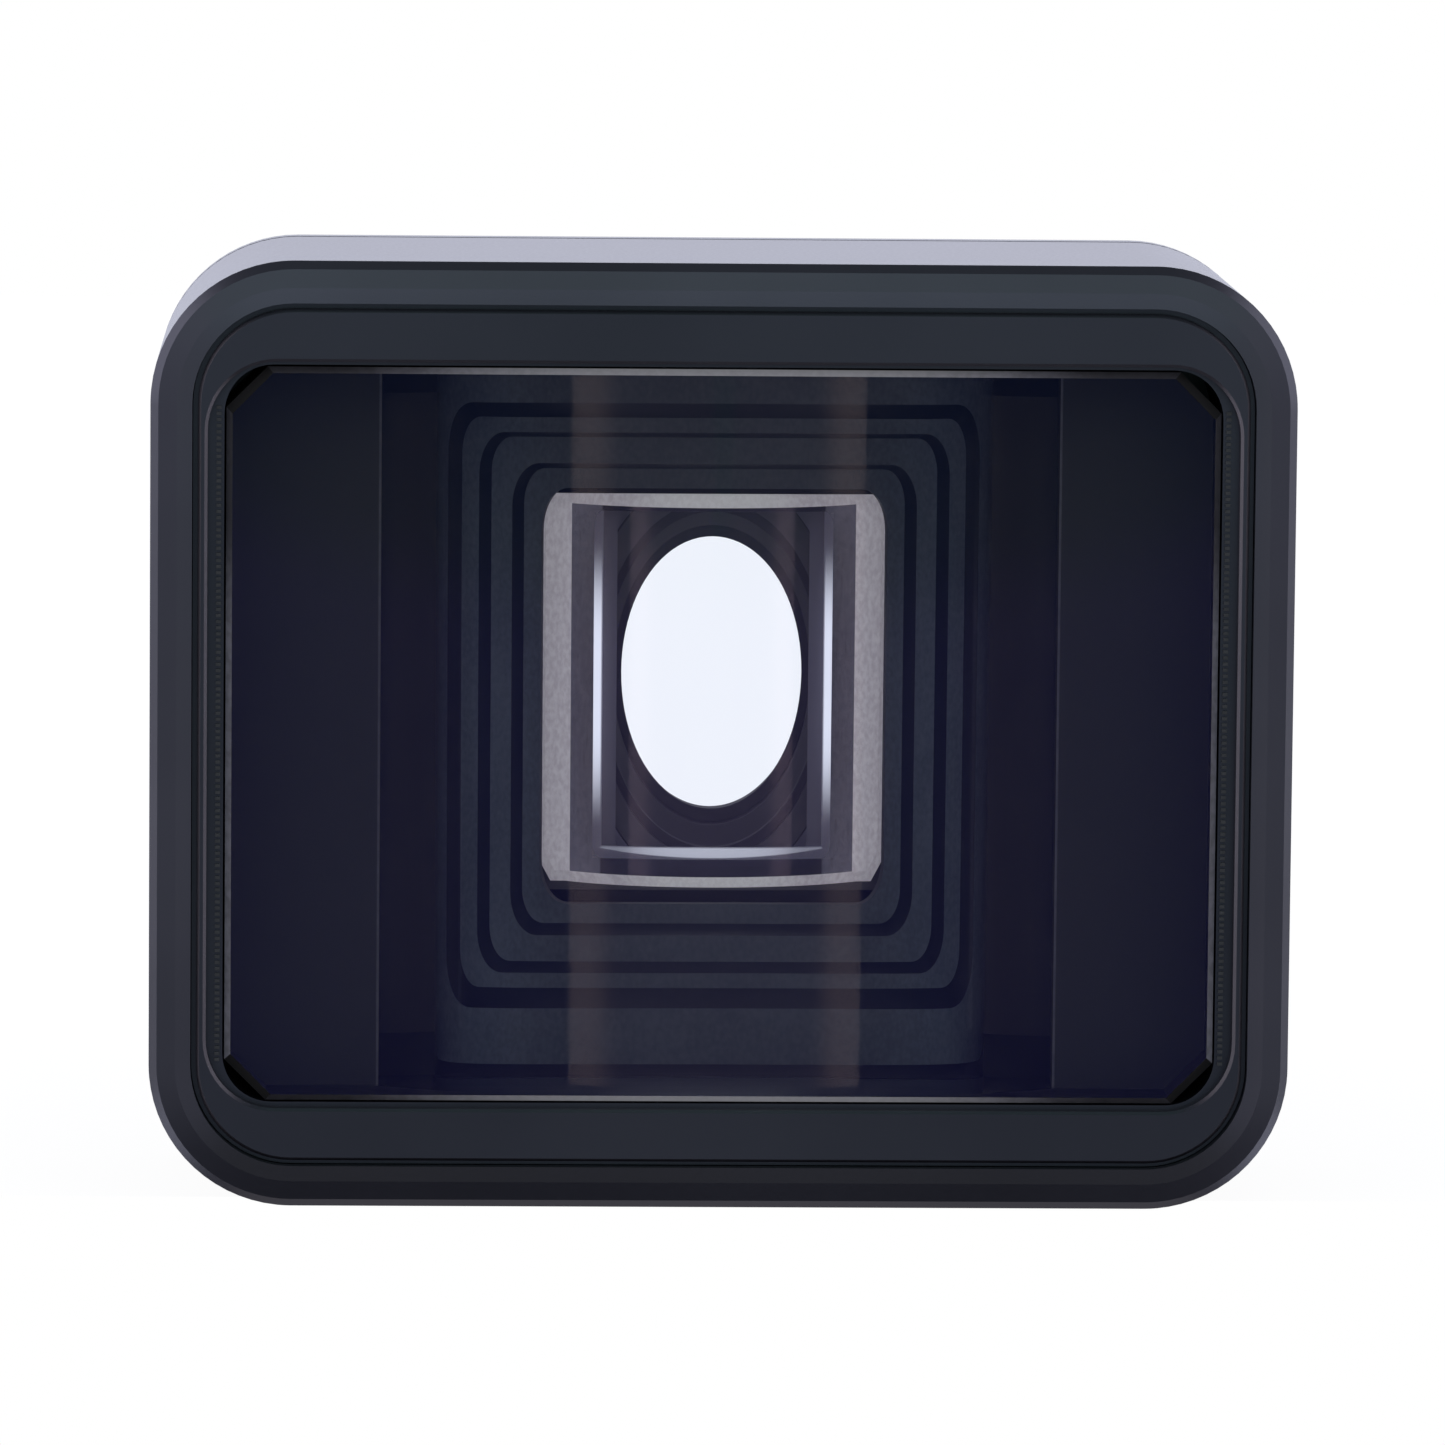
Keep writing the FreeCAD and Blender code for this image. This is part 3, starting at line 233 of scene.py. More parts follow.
# Thin gaskets of black rubber lie under the frame, the baffle and the rear cell, and the
# front lens rests on two strips of black foam glued to the frame's ledge.
SKIN_M = 4e-6
SOFT_ENDS = (0.25, 0.75)


def soft_black(name, dark, light, roughness, scale):
    """Rubber, foam or black paint: matt, with a fine uneven skin."""
    material, shader, pen = finish(name)
    skin = pen.grain(scale, 4.0)
    skin.mottle(dark, light, SOFT_ENDS).feed(shader, "Base Color")
    skin.about(roughness, 0.2).feed(shader, "Roughness")
    pen.relief(skin, SKIN_M).feed(shader, "Normal")
    return material


SEAL_RUBBER = soft_black(
    "seal_rubber", (0.011, 0.011, 0.012), (0.019, 0.019, 0.02), 0.7, 2600.0
)
for piece in ("frame_seal", "baffle_seal", "cell_seal", "front_lens_pads"):
    coat_piece(piece, SEAL_RUBBER)


# The front lens is a block of dense glass, flat in front and hollowed to a deep cylinder
# behind. The lands beside the hollow are painted black, the rim is ground to a fine bevel and
# the corners are cut off. Coatings tint what it reflects, violet in front and grey red behind.
GLASS, GROUND, PAINTED, HOLLOW, CUT = range(5)
WIPED_DOWN, POLISHED, WIPED = (1.0, 1.0, 0.25), (1.0, 1.0, 1.0), (0.985, 0.985, 0.99)
# The glow colour of ground glass is painted light.
PAINTED_GLOW, RIM_SHADE = (0.72, 0.73, 0.78), (0.010, 0.010, 0.013)


def clear_glass(name, index, coating):
    """Polished glass that reflects only a little light, in the coating's colour. Faint marks
    of wiping dull it a very little."""
    material, shader, pen = finish(
        name, IOR=index, Transmission_Weight=1.0, Specular_Tint=(*coating, 1.0)
    )
    wiped = pen.grain(90.0, 4.0, WIPED_DOWN).rise(0.45, 0.8)
    wiped.tint(POLISHED, WIPED).feed(shader, "Base Color")
    (wiped * 0.02).feed(shader, "Roughness")
    return material


def ground_glass_painted_glow(name, dark, light, glow, glow_half, shade_at=None):
    """Finely ground glass with a painted glow: its own emission stands in for light straying
    inside the block, in its own tone and paler within glow_half of the middle. shade_at
    tells how much painted shade the pieces round the glass lay on a point of it."""
    material, shader, pen = finish(name, Emission_Strength=glow)
    skin = pen.grain(2600.0, 5.0)
    tone = skin.mottle(dark, light)
    x, _, z = pen.axes()
    across = x * x
    if shade_at:
        tone = shade_at(across, z).tint(tone, RIM_SHADE)
    tone.feed(shader, "Base Color")
    # Painted light: the ground glass glows with its own emission, palest in the middle.
    across.rise(0.0, glow_half**2).tint(PAINTED_GLOW, tone).feed(shader, "Emission Color")
    skin.about(0.6, 0.2).feed(shader, "Roughness")
    pen.relief(skin, SKIN_M).feed(shader, "Normal")
    return material


def glass_block(name, columns, half_height, front, rear, bevel, levels, finish_of, materials):
    """A glass block of upright columns from side to side, with all lengths in millimetres.

    half_height, front and rear give the outline at a column's x, bevel is the width of the
    ground rim, levels are heights at which the rear face is split, and finish_of names the
    finish of a part between two columns, from its distance to either side and its height."""
    points, faces, finishes = [], [], []
    widest = columns[-1]
    for x in columns:
        high, near, far = half_height(x), front(x), rear(x)
        inner = x * (widest - bevel) / widest
        points += [(inner, near, high - bevel), (x, near + bevel, high), (x, far, high)]
        points += [(x, far, level) for level in levels]
        points += [(x, far, -high), (x, near + bevel, -high), (inner, near, bevel - high)]
    parts = ["bevel", "edge"] + ["rear"] * (len(levels) + 1) + ["edge", "bevel", "front"]
    trip = len(parts)
    for column, (x, following) in enumerate(zip(columns, columns[1:])):
        here, there = trip * column, trip * (column + 1)
        for corner, part in enumerate(parts):
            after = (corner + 1) % trip
            faces.append((here + corner, there + corner, there + after, here + after))
            height = (points[here + corner][2] + points[here + after][2]) / 2
            finishes.append(finish_of(abs(x + following) / 2, height, part))
    last = len(points) - 1
    faces += [tuple(range(1, trip - 1)), tuple(range(last - 1, last - trip + 1, -1))]
    faces += [(0, 1, trip - 2, trip - 1)]
    faces += [(last, last - 1, last - trip + 2, last - trip + 1)]
    finishes += [finish_of(widest, 0.0, part) for part in ("edge", "edge", "bevel", "bevel")]
    mesh = bpy.data.meshes.new(name)
    mesh.from_pydata([[c * MM for c in point] for point in points], [], faces)
    for material in materials:
        mesh.materials.append(material)
    mesh.polygons.foreach_set("material_index", finishes)
    mesh.shade_smooth()
    mesh.set_sharp_from_angle(angle=math.radians(20))
    block = bpy.data.objects.new(name, mesh)
    scene.collection.objects.link(block)
    return block


def cylinder_columns(radius, chord, count):
    """Columns across a cylinder of the given radius, from -chord to chord."""
    turn = math.asin(chord / radius)
    angles = [turn * (2 * step / count - 1) for step in range(1, count)]
    return [-chord, *(radius * math.sin(angle) for angle in angles), chord]


def add_both_sides(columns, outer):
    return [-x for x in reversed(outer)] + columns + outer


def cut_outline(high, cut):
    """The half height of a block along x, whose corners are cut off at 45 degrees."""
    return lambda x: high.z - max(abs(x) - (high.x - cut), 0.0)


def box_in_mm(node):
    return [Vector(corner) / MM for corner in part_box(node)]


lens_low, lens_high = box_in_mm("front_lens")
FRONT_INDEX, FRONT_RADIUS, FRONT_CENTRE = 1.69, 23.7, 1.8
FRONT_CUT, FRONT_BEVEL, LAND_LINE, PAD_GAP = 2.0, 0.3, 0.12, 0.01
FRONT_BACK = lens_high.y - PAD_GAP
HOLLOW_DEPTH = FRONT_BACK - lens_low.y - FRONT_CENTRE
FRONT_CHORD = math.sqrt(FRONT_RADIUS**2 - (FRONT_RADIUS - HOLLOW_DEPTH) ** 2)
SHADE_FROM_M, SHADE_TO_M, SHADE_DEPTH = 0.012, 0.019, 0.85
SIDE_FROM_M, SIDE_TO_M = (lens_high.x - 1.0) * MM, (lens_high.x - 0.5) * MM
SIDE_SHADE_LOW_M, SIDE_SHADE_HIGH_M = 0.004, 0.011


def frame_shade(across, z):
    """How much the frame shades the rim: towards its corners above and below, and high up at
    its sides. across is the square of the distance from the middle plane."""
    at_side = across.rise(SIDE_FROM_M**2, SIDE_TO_M**2)
    low_at_side = at_side * (1.0 - z.rise(SIDE_SHADE_LOW_M, SIDE_SHADE_HIGH_M))
    return across.rise(SHADE_FROM_M**2, SHADE_TO_M**2) * (1.0 - low_at_side) * SHADE_DEPTH


def front_rear_face(x):
    if abs(x) >= FRONT_CHORD:
        return FRONT_BACK
    return lens_low.y + FRONT_CENTRE + FRONT_RADIUS - math.sqrt(FRONT_RADIUS**2 - x * x)


def front_finish(x, z, part):
    if part == "bevel":
        at_cut = lens_high.x - FRONT_CUT <= x < lens_high.x
        return CUT if at_cut else GROUND
    if part == "rear" and FRONT_CHORD < x < FRONT_CHORD + LAND_LINE:
        return GROUND
    if part == "edge" or (part == "rear" and x >= FRONT_CHORD):
        return PAINTED
    return HOLLOW if part == "rear" else GLASS


front_glass = glass_block(
    "front_lens_glass",
    add_both_sides(
        cylinder_columns(FRONT_RADIUS, FRONT_CHORD, 240),
        [FRONT_CHORD + LAND_LINE, lens_high.x - FRONT_CUT, lens_high.x],
    ),
    cut_outline(lens_high, FRONT_CUT),
    lambda x: lens_low.y,
    front_rear_face,
    FRONT_BEVEL,
    [],
    front_finish,
    [
        clear_glass("front_glass", FRONT_INDEX, (0.12, 0.12, 0.55)),
        # The ground rim glows with painted light, its own emission.
        ground_glass_painted_glow(
            "front_ground", (0.10, 0.10, 0.12), (0.15, 0.15, 0.18), 0.17, 0.016, frame_shade
        ),
        soft_black("lens_paint", (0.009, 0.010, 0.010), (0.013, 0.014, 0.014), 0.5, 900.0),
        clear_glass("front_glass_hollow", FRONT_INDEX, (0.20, 0.17, 0.18)),
        soft_black("corner_paint", (0.003, 0.003, 0.004), (0.005, 0.005, 0.006), 0.9, 900.0),
    ],
)
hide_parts("front_lens")
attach(front_glass, "lens_body")


# The stepped baffle behind it is moulded in black plastic with a fine spark grain. Each step
# has a flat ledge and a steep wall. Painted light and shade: the ledges that face the front
# are painted paler, and paler still towards the sides, and the walls are painted darker.
SHADED_WALL_TONES = (0.017, 0.020, 0.027), (0.028, 0.032, 0.042)
LEDGE_TONES = (0.055, 0.068, 0.09), (0.085, 0.10, 0.13)
PAINTED_LIGHT_LEDGE_TONES = (0.25, 0.29, 0.39), (0.35, 0.41, 0.54)
PAINTED_LIGHT_FROM_M2, PAINTED_LIGHT_TO_M2, SPARK_M = 0.00006, 0.00046, 5e-6


def moulded_baffle():
    material, shader, pen = finish("baffle_black")
    spark = pen.grain(3200.0, 4.0)
    flow = pen.grain(160.0, 3.0)
    blotch = (spark * 0.6 + flow * 0.4).rise(0.3, 0.7)
    x, _, _ = pen.axes()
    _, facing_y, _ = pen.axes("Normal")
    # Painted light: the ledges are made paler towards the sides.
    side_painted_light = (x * x).rise(PAINTED_LIGHT_FROM_M2, PAINTED_LIGHT_TO_M2)
    ledge = side_painted_light.tint(blotch.tint(*LEDGE_TONES), blotch.tint(*PAINTED_LIGHT_LEDGE_TONES))
    # Painted light and shade: faces turned to the front take the ledge tones, the walls the
    # darker tones.
    forward = (-1.0 * facing_y).rise(0.6, 0.95)
    forward.tint(blotch.tint(*SHADED_WALL_TONES), ledge).feed(shader, "Base Color")
    spark.about(0.52, 0.2).feed(shader, "Roughness")
    pen.relief(spark * 0.7 + flow * 0.3, SPARK_M).feed(shader, "Normal")
    return material


coat_piece("stepped_baffle", moulded_baffle())


# The rear lens bulges forward as a cylinder and is flat behind. Its rim and the lands beside
# the bulge are ground, pale lilac, and glow with painted light that stands in for the light
# straying through the block. A frosted border runs down the sides and along the foot of its
# window, with a painted glow that stands in for the light from the exit.
FROSTED = 2
rear_low, rear_high = box_in_mm("rear_lens")
REAR_INDEX, REAR_RADIUS, REAR_LAND, REAR_CUT, REAR_BEVEL = 1.62, 33.0, 2.4, 1.0, 0.6
WINDOW_W, WINDOW_H, FROST_W, FROST_H = 9.7, 8.96, 0.8, 0.66
REAR_CHORD = rear_high.x - REAR_LAND
REAR_SAG = REAR_RADIUS - math.sqrt(REAR_RADIUS**2 - REAR_CHORD**2)
CLEAR_W_M, CLEAR_H_M = (WINDOW_W - FROST_W) * MM, (WINDOW_H - FROST_H) * MM
CLEAR_EDGE_W_M, CLEAR_EDGE_H_M = 0.0002, 0.0001
DULLER_FROM_SIDE_M, DULLER_FROM_END_M, DULL_AT_M = 0.0015, 0.003, 0.0078
CRESCENT_LOW_M, CRESCENT_BEND, CRESCENT_EDGE_M = 0.0089, 5.5, 0.00006
FAINT_FROST_GLOW, PAINTED_FROST_GLOW = (0.012, 0.012, 0.025), (0.66, 0.70, 0.86)


def frosted_glass_painted_glow():
    """The fine ground border of the rear face. Its glow is painted light, its own emission,
    which stands in for the light from the opening behind it: strongest where the opening is
    nearest, and below it shows as a crescent."""
    material, shader, pen = finish(
        "rear_frost",
        IOR=REAR_INDEX,
        Transmission_Weight=1.0,
        Roughness=0.6,
        Emission_Strength=1.0,
    )
    skin = pen.grain(2600.0, 4.0)
    skin.mottle((0.86, 0.86, 0.92), (1.0, 1.0, 1.0)).feed(shader, "Base Color")
    x, _, z = pen.axes()
    at_side = (x * x).rise(CLEAR_W_M**2, (CLEAR_W_M + CLEAR_EDGE_W_M) ** 2)
    at_end = (-1.0 * z).rise(CLEAR_H_M, CLEAR_H_M + CLEAR_EDGE_H_M) * (1.0 - at_side)
    near_side = (1.0 - (z * z).rise(DULLER_FROM_SIDE_M**2, DULL_AT_M**2)) ** 1.5
    near_end = 1.0 - (x * x).rise(DULLER_FROM_END_M**2, DULL_AT_M**2) * 0.6
    curve = (z + CRESCENT_LOW_M - x * x * CRESCENT_BEND).rise(0.0, CRESCENT_EDGE_M)
    glow = at_side * near_side + at_end * near_end * curve * 0.5
    # Painted light: the frosted border glows with its own emission.
    glow.tint(FAINT_FROST_GLOW, PAINTED_FROST_GLOW).feed(shader, "Emission Color")
    return material


def rear_front_face(x):
    if abs(x) >= REAR_CHORD:
        return rear_low.y + REAR_SAG
    return rear_low.y + REAR_RADIUS - math.sqrt(REAR_RADIUS**2 - x * x)


def rear_finish(x, z, part):
    if part == "rear":
        in_window = x < WINDOW_W and abs(z) < WINDOW_H
        in_clear = x < WINDOW_W - FROST_W and z > FROST_H - WINDOW_H
        return FROSTED if in_window and not in_clear else GLASS
    return GLASS if part == "front" and x < REAR_CHORD else GROUND


rear_columns = add_both_sides(
    cylinder_columns(REAR_RADIUS, REAR_CHORD, 160), [rear_high.x - REAR_CUT, rear_high.x]
)
frost_columns = add_both_sides([], [WINDOW_W - FROST_W, WINDOW_W])
frost_levels = [WINDOW_H, WINDOW_H - FROST_H, FROST_H - WINDOW_H, -WINDOW_H]
rear_glass = glass_block(
    "rear_lens_glass",
    sorted(rear_columns + frost_columns),
    cut_outline(rear_high, REAR_CUT),
    rear_front_face,
    lambda x: rear_high.y,
    REAR_BEVEL,
    frost_levels,
    rear_finish,
    [
        clear_glass("rear_glass", REAR_INDEX, (0.30, 0.25, 0.35)),
        # The ground rim and lands glow with painted light, their own emission.
        ground_glass_painted_glow("rear_ground", (0.50, 0.47, 0.55), (0.62, 0.60, 0.68), 0.36, 0.008),
        frosted_glass_painted_glow(),
    ],
)
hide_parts("rear_lens")
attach(rear_glass, "lens_body")


# The rear lens sits in a cell turned and milled from alloy, and a thin ring stops the light
# at the mount's exit. Both are blackened until they look dull.
CELL_BLACK = soft_black(
    "cell_alloy", (0.008, 0.008, 0.012), (0.013, 0.013, 0.018), 0.8, 2800.0
)
STOP_BLACK = soft_black(
    "stop_black", (0.006, 0.006, 0.008), (0.012, 0.012, 0.014), 0.7, 2400.0
)
coat_piece("rear_lens_cell", CELL_BLACK)
coat_piece("exit_stop", STOP_BLACK)


# A thin mask lies on the rear lens's flat face, round its window. It is painted matt, navy
# above and below the window and grey beside it.
MASK_NAVY, MASK_TONES = (0.020, 0.018, 0.045), ((0.15, 0.16, 0.21), (0.20, 0.21, 0.27))


def mask_paint():
    material, shader, pen = finish("mask_paint", Roughness=0.5)
    x, _, _ = pen.axes()
    skin = pen.grain(2400.0, 4.0)
    beside = (x * x).rise(CLEAR_W_M**2, (CLEAR_W_M + CLEAR_EDGE_W_M) ** 2)
    grey = skin.mottle(*MASK_TONES, SOFT_ENDS)
    beside.tint(MASK_NAVY, grey).feed(shader, "Base Color")
    pen.relief(skin, SKIN_M).feed(shader, "Normal")
    return material


coat_piece("rear_lens_mask", mask_paint())


# Small turned screws with hexagon sockets hold the cell and the rear cover, and two pins
# line the halves up. They are blackened steel, rubbed a little brighter on their faces.
STEEL_TONES, TURNED_M = ((0.085, 0.085, 0.09), (0.15, 0.15, 0.155)), 1.5e-6


def blackened_steel():
    material, shader, pen = finish("screw_steel", Metallic=1.0)
    turned = pen.grain(7000.0, 3.0)
    turned.mottle(*STEEL_TONES).feed(shader, "Base Color")
    turned.about(0.28, 0.16).feed(shader, "Roughness")
    pen.relief(turned, TURNED_M).feed(shader, "Normal")
    return material


SCREW_STEEL = blackened_steel()
for piece in ("cell_screws", "cover_screws", "locating_pins", "ring_stop_screw"):
    coat_piece(piece, SCREW_STEEL)


# Two washers of a slippery dark plastic let the mount and the ring turn without scraping.
WASHER_TONES, CLOUD_M = ((0.05, 0.045, 0.058), (0.07, 0.062, 0.078)), 3e-6


def slippery_plastic():
    material, shader, pen = finish("washer_plastic", Roughness=0.45)
    cloud = pen.grain(700.0, 3.0)
    cloud.mottle(*WASHER_TONES).feed(shader, "Base Color")
    pen.relief(cloud, CLOUD_M).feed(shader, "Normal")
    return material


WASHER_PLASTIC = slippery_plastic()
for piece in ("slip_washer", "thrust_washer"):
    coat_piece(piece, WASHER_PLASTIC)


# The mount's barrel is a tube turned from alloy and anodised black. Its rear end has a thread
# for the phone's case, and its bore and its mouth are painted matt.
BORE_PAINT, BORE_ROUGHNESS = (0.012, 0.009, 0.014), 0.75


def turned_alloy(name, tones, roughness, bore_m=0.0, front_m=-0.05):
    """Turned and anodised alloy. Its rings run round the Y axis, and it is painted a matt
    black inside its bore and in front of front_m."""
    material, shader, pen = finish(name)
    x, y, z = pen.axes()
    reach = (x * x + z * z) ** 0.5
    outer = reach.rise(bore_m, bore_m + EDGE_M) * y.rise(front_m, front_m + EDGE_M)
    outer.feed(shader, "Metallic")
    (outer * 0.4).feed(shader, "Coat Weight")
    stations = pen.node("CombineXYZ", {}, {0: reach, 1: y})
    cutter = pen.node("TexNoise", {}, {"Vector": stations, "Scale": 9000.0, "Detail": 1.0})
    fine = pen.grain(5200.0)
    alloy = pen.grain(90.0).mottle(*tones)
    outer.tint(BORE_PAINT, alloy).feed(shader, "Base Color")
    cutter.about(BORE_ROUGHNESS - (BORE_ROUGHNESS - roughness) * outer, 0.1).feed(
        shader, "Roughness"
    )
    pen.relief(cutter * 0.6 + fine * 0.4, CUTTER_M).feed(shader, "Normal")
    return material


def lathe(name, profile, count):
    """A closed shape turned round the Y axis from (radius, y) corners in millimetres."""
    points, faces = [], []
    for turn in range(count):
        angle = math.tau * turn / count
        across, up = math.sin(angle) * MM, math.cos(angle) * MM
        points += [(radius * across, y * MM, radius * up) for radius, y in profile]
    size = len(profile)
    for turn in range(count):
        here, there = turn * size, (turn + 1) % count * size
        for corner in range(size):
            after = (corner + 1) % size
            faces.append((here + corner, here + after, there + after, there + corner))
    mesh = bpy.data.meshes.new(name)
    mesh.from_pydata(points, [], faces)
    mesh.shade_smooth()
    mesh.set_sharp_from_angle(angle=math.radians(25))
    return mesh


class Growth:
    """A tree of geometry nodes with named inputs for its sizes, in metres, and its counts."""

    def __init__(self, name, sizes):
        self.tree = bpy.data.node_groups.new(name, "GeometryNodeTree")
        self.sizes, self.keys = sizes, {}
        faces = self.tree.interface
        faces.new_socket("Geometry", in_out="INPUT", socket_type="NodeSocketGeometry")
        for size, value in sizes.items():
            kind = "NodeSocketInt" if isinstance(value, int) else "NodeSocketFloat"
            made = faces.new_socket(size, in_out="INPUT", socket_type=kind)
            self.keys[size] = made.identifier
        faces.new_socket("Geometry", in_out="OUTPUT", socket_type="NodeSocketGeometry")
        self.given = self.tree.nodes.new("NodeGroupInput")

    def size(self, name):
        return self.given.outputs[name]

    def node(self, kind, settings, sockets):
        """Adds a node, sets it up, fills or links its sockets and gives back its output."""
        made = self.tree.nodes.new(kind)
        for name, value in settings.items():
            setattr(made, name, value)
        for key, value in sockets.items():
            many = value if isinstance(value, list) else [value]
            for one in many:
                if isinstance(one, bpy.types.NodeSocket):
                    self.tree.links.new(one, made.inputs[key])
                else:
                    made.inputs[key].default_value = one
        return made.outputs[0]

    def made(self, shape, material, mesh):
        """Ends the tree with its material and gives back the finished piece."""
        whole = self.node("GeometryNodeRealizeInstances", {}, {0: shape})
        ready = self.node(
            "GeometryNodeSetMaterial", {}, {"Geometry": whole, "Material": material}
        )
        result = self.tree.nodes.new("NodeGroupOutput")
        self.tree.links.new(ready, result.inputs[0])
        seed = bpy.data.objects.new(self.tree.name, mesh)
        scene.collection.objects.link(seed)
        modifier = seed.modifiers.new(self.tree.name, "NODES")
        modifier.node_group = self.tree
        for size, key in self.keys.items():
            modifier[key] = self.sizes[size]
        grown = seed.evaluated_get(bpy.context.evaluated_depsgraph_get())
        final = bpy.data.meshes.new_from_object(grown)
        seed.modifiers.clear()
        seed.data = final
        return seed


barrel_low, barrel_high = box_in_mm("mount_barrel")
THREAD_RADIUS, THREAD_DEPTH, THREAD_PITCH, THREAD_BEVEL = 8.5, 0.35, 0.75, 0.3
FLANGE_BACK_Y, STOP_BACK_Y, CONE_FRONT, CONE_BACK = -2.75, -0.2, 0.7, 2.3
SHOULDER_RADIUS, MOUTH_RADIUS, BORE_RADIUS, END_RADIUS = 9.0, 8.7, 7.8, 7.4
CORE_RADIUS = THREAD_RADIUS - THREAD_DEPTH
THREAD_LENGTH = barrel_high.y - 2 * THREAD_DEPTH - THREAD_BEVEL
MOUNT_TONES, MOUNT_ROUGHNESS = ((0.03, 0.03, 0.036), (0.04, 0.04, 0.048)), 0.34
BORE_PAINT_M, MOUTH_PAINT_M = 0.00872, -0.0026
barrel_profile = [
    (MOUTH_RADIUS, barrel_low.y),
    (barrel_high.x, barrel_low.y),
    (barrel_high.x, FLANGE_BACK_Y),
    (SHOULDER_RADIUS, FLANGE_BACK_Y),
    (SHOULDER_RADIUS, 0.0),
    (CORE_RADIUS, 0.0),
    (CORE_RADIUS, barrel_high.y - THREAD_BEVEL),
    (CORE_RADIUS - THREAD_BEVEL, barrel_high.y),
    (END_RADIUS, barrel_high.y),
    (END_RADIUS, STOP_BACK_Y),
    (BORE_RADIUS, STOP_BACK_Y),
    (BORE_RADIUS, barrel_low.y + CONE_BACK),
    (MOUTH_RADIUS, barrel_low.y + CONE_FRONT),
]


def threaded_barrel():
    """The turned tube with a ridge wound round its rear end as its thread."""
    growth = Growth(
        "mount_barrel_thread",
        {
            "Turns": THREAD_LENGTH / THREAD_PITCH,
            "Core Radius": CORE_RADIUS * MM,
            "Length": THREAD_LENGTH * MM,
            "Ridge": THREAD_DEPTH * MM,
            "Steps per Turn": 96,
        },
    )
    winding = growth.node(
        "GeometryNodeCurveSpiral",
        {},
        {
            "Resolution": growth.size("Steps per Turn"),
            "Rotations": growth.size("Turns"),
            "Start Radius": growth.size("Core Radius"),
            "End Radius": growth.size("Core Radius"),
            "Height": growth.size("Length"),
        },
    )
    upright = growth.node("GeometryNodeSetCurveNormal", {"mode": "Z_UP"}, {"Curve": winding})
    ridge = growth.node(
        "GeometryNodeCurvePrimitiveCircle",
        {},
        {"Resolution": 4, "Radius": growth.size("Ridge")},
    )
    wound = growth.node(
        "GeometryNodeCurveToMesh",
        {},
        {"Curve": upright, "Profile Curve": ridge, "Fill Caps": True},
    )
    flat = growth.node("GeometryNodeSetShadeSmooth", {}, {0: wound, "Shade Smooth": False})
    laid = growth.node(
        "GeometryNodeTransform",
        {},
        {
            "Geometry": flat,
            "Rotation": (math.radians(-90), 0.0, 0.0),
            "Translation": (0.0, THREAD_DEPTH * MM, 0.0),
        },
    )
    tube = growth.size("Geometry")
    both = growth.node("GeometryNodeJoinGeometry", {}, {0: [laid, tube]})
    alloy = turned_alloy(
        "mount_alloy", MOUNT_TONES, MOUNT_ROUGHNESS, BORE_PAINT_M, MOUTH_PAINT_M
    )
    return growth.made(both, alloy, lathe("mount_barrel_tube", barrel_profile, 192))


barrel = threaded_barrel()
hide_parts("mount_barrel")
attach(barrel, "mount")


# A finely toothed strip of black plastic lies along each side of the front lens, on the
# frame's ledge. It hides the edge of the glass and breaks up the light that falls on it.
TOOTH_COUNT, TOOTH_PITCH, TOOTH_X, LEDGE_STATION = 108, 0.3, 24.66, 0.95
TOOTH_WIDE, TOOTH_DEEP, TOOTH_HIGH = 0.24, 0.16, 0.16


def toothed_strips():
    """Two rows of small teeth, one at each side of the glass."""
    growth = Growth(
        "glass_side_teeth",
        {
            "Teeth": TOOTH_COUNT,
            "Pitch": TOOTH_PITCH * MM,
            "Across": TOOTH_X * MM,
            "Ledge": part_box("front_frame")[0][1] + (LEDGE_STATION - TOOTH_DEEP / 2) * MM,
        },
    )
    tooth = growth.node(
        "GeometryNodeMeshCube",
        {},
        {"Size": (TOOTH_WIDE * MM, TOOTH_DEEP * MM, TOOTH_HIGH * MM)},
    )
    start = -TOOTH_PITCH * (TOOTH_COUNT - 1) / 2 * MM
    step = growth.node("ShaderNodeCombineXYZ", {}, {"Z": growth.size("Pitch")})
    rows = []
    for side in (-1.0, 1.0):
        across = growth.node(
            "ShaderNodeMath", {"operation": "MULTIPLY"}, {0: growth.size("Across"), 1: side}
        )
        begin = growth.node(
            "ShaderNodeCombineXYZ", {}, {"X": across, "Y": growth.size("Ledge"), "Z": start}
        )
        line = growth.node(
            "GeometryNodeMeshLine",
            {"mode": "OFFSET"},
            {"Count": growth.size("Teeth"), "Start Location": begin, "Offset": step},
        )
        rows.append(
            growth.node("GeometryNodeInstanceOnPoints", {}, {"Points": line, "Instance": tooth})
        )
    both = growth.node("GeometryNodeJoinGeometry", {}, {0: rows})
    black = soft_black("tooth_black", (0.03, 0.032, 0.037), (0.05, 0.053, 0.06), 0.35, 2600.0)
    return growth.made(both, black, bpy.data.meshes.new("glass_side_teeth"))


teeth = toothed_strips()
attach(teeth, "lens_body")


# The lock ring is turned from alloy too, with flutes milled round its edge for the fingers.
# A rubber ring is glued into a groove in its face and keeps the phone from slipping.
RING_TONES, RING_ROUGHNESS = ((0.036, 0.04, 0.055), (0.046, 0.05, 0.068)), 0.36
PAD_RUBBER = soft_black(
    "pad_rubber", (0.012, 0.012, 0.013), (0.022, 0.022, 0.023), 0.75, 2600.0
)
coat_piece("lock_ring", turned_alloy("ring_alloy", RING_TONES, RING_ROUGHNESS))
coat_piece("face_pad", PAD_RUBBER)


# The lens stands at the front edge of a pale table. For the camera the table is white like
# the backdrop, and keeps a faint shadow. Through the glass it looks a little blue.
TABLE_SIDE, TABLE_REAR, TABLE_FRONT, TABLE_GAP = 700.0, 600.0, 30.0, 0.1
WHITE, THROUGH_GLASS = (1.0, 1.0, 1.0), (0.87, 0.90, 1.01)
PAPER_TONES, TABLE_GLOW, GLOW_SHARE = ((0.78, 0.79, 0.82), (0.84, 0.85, 0.87)), 1.1, 0.85


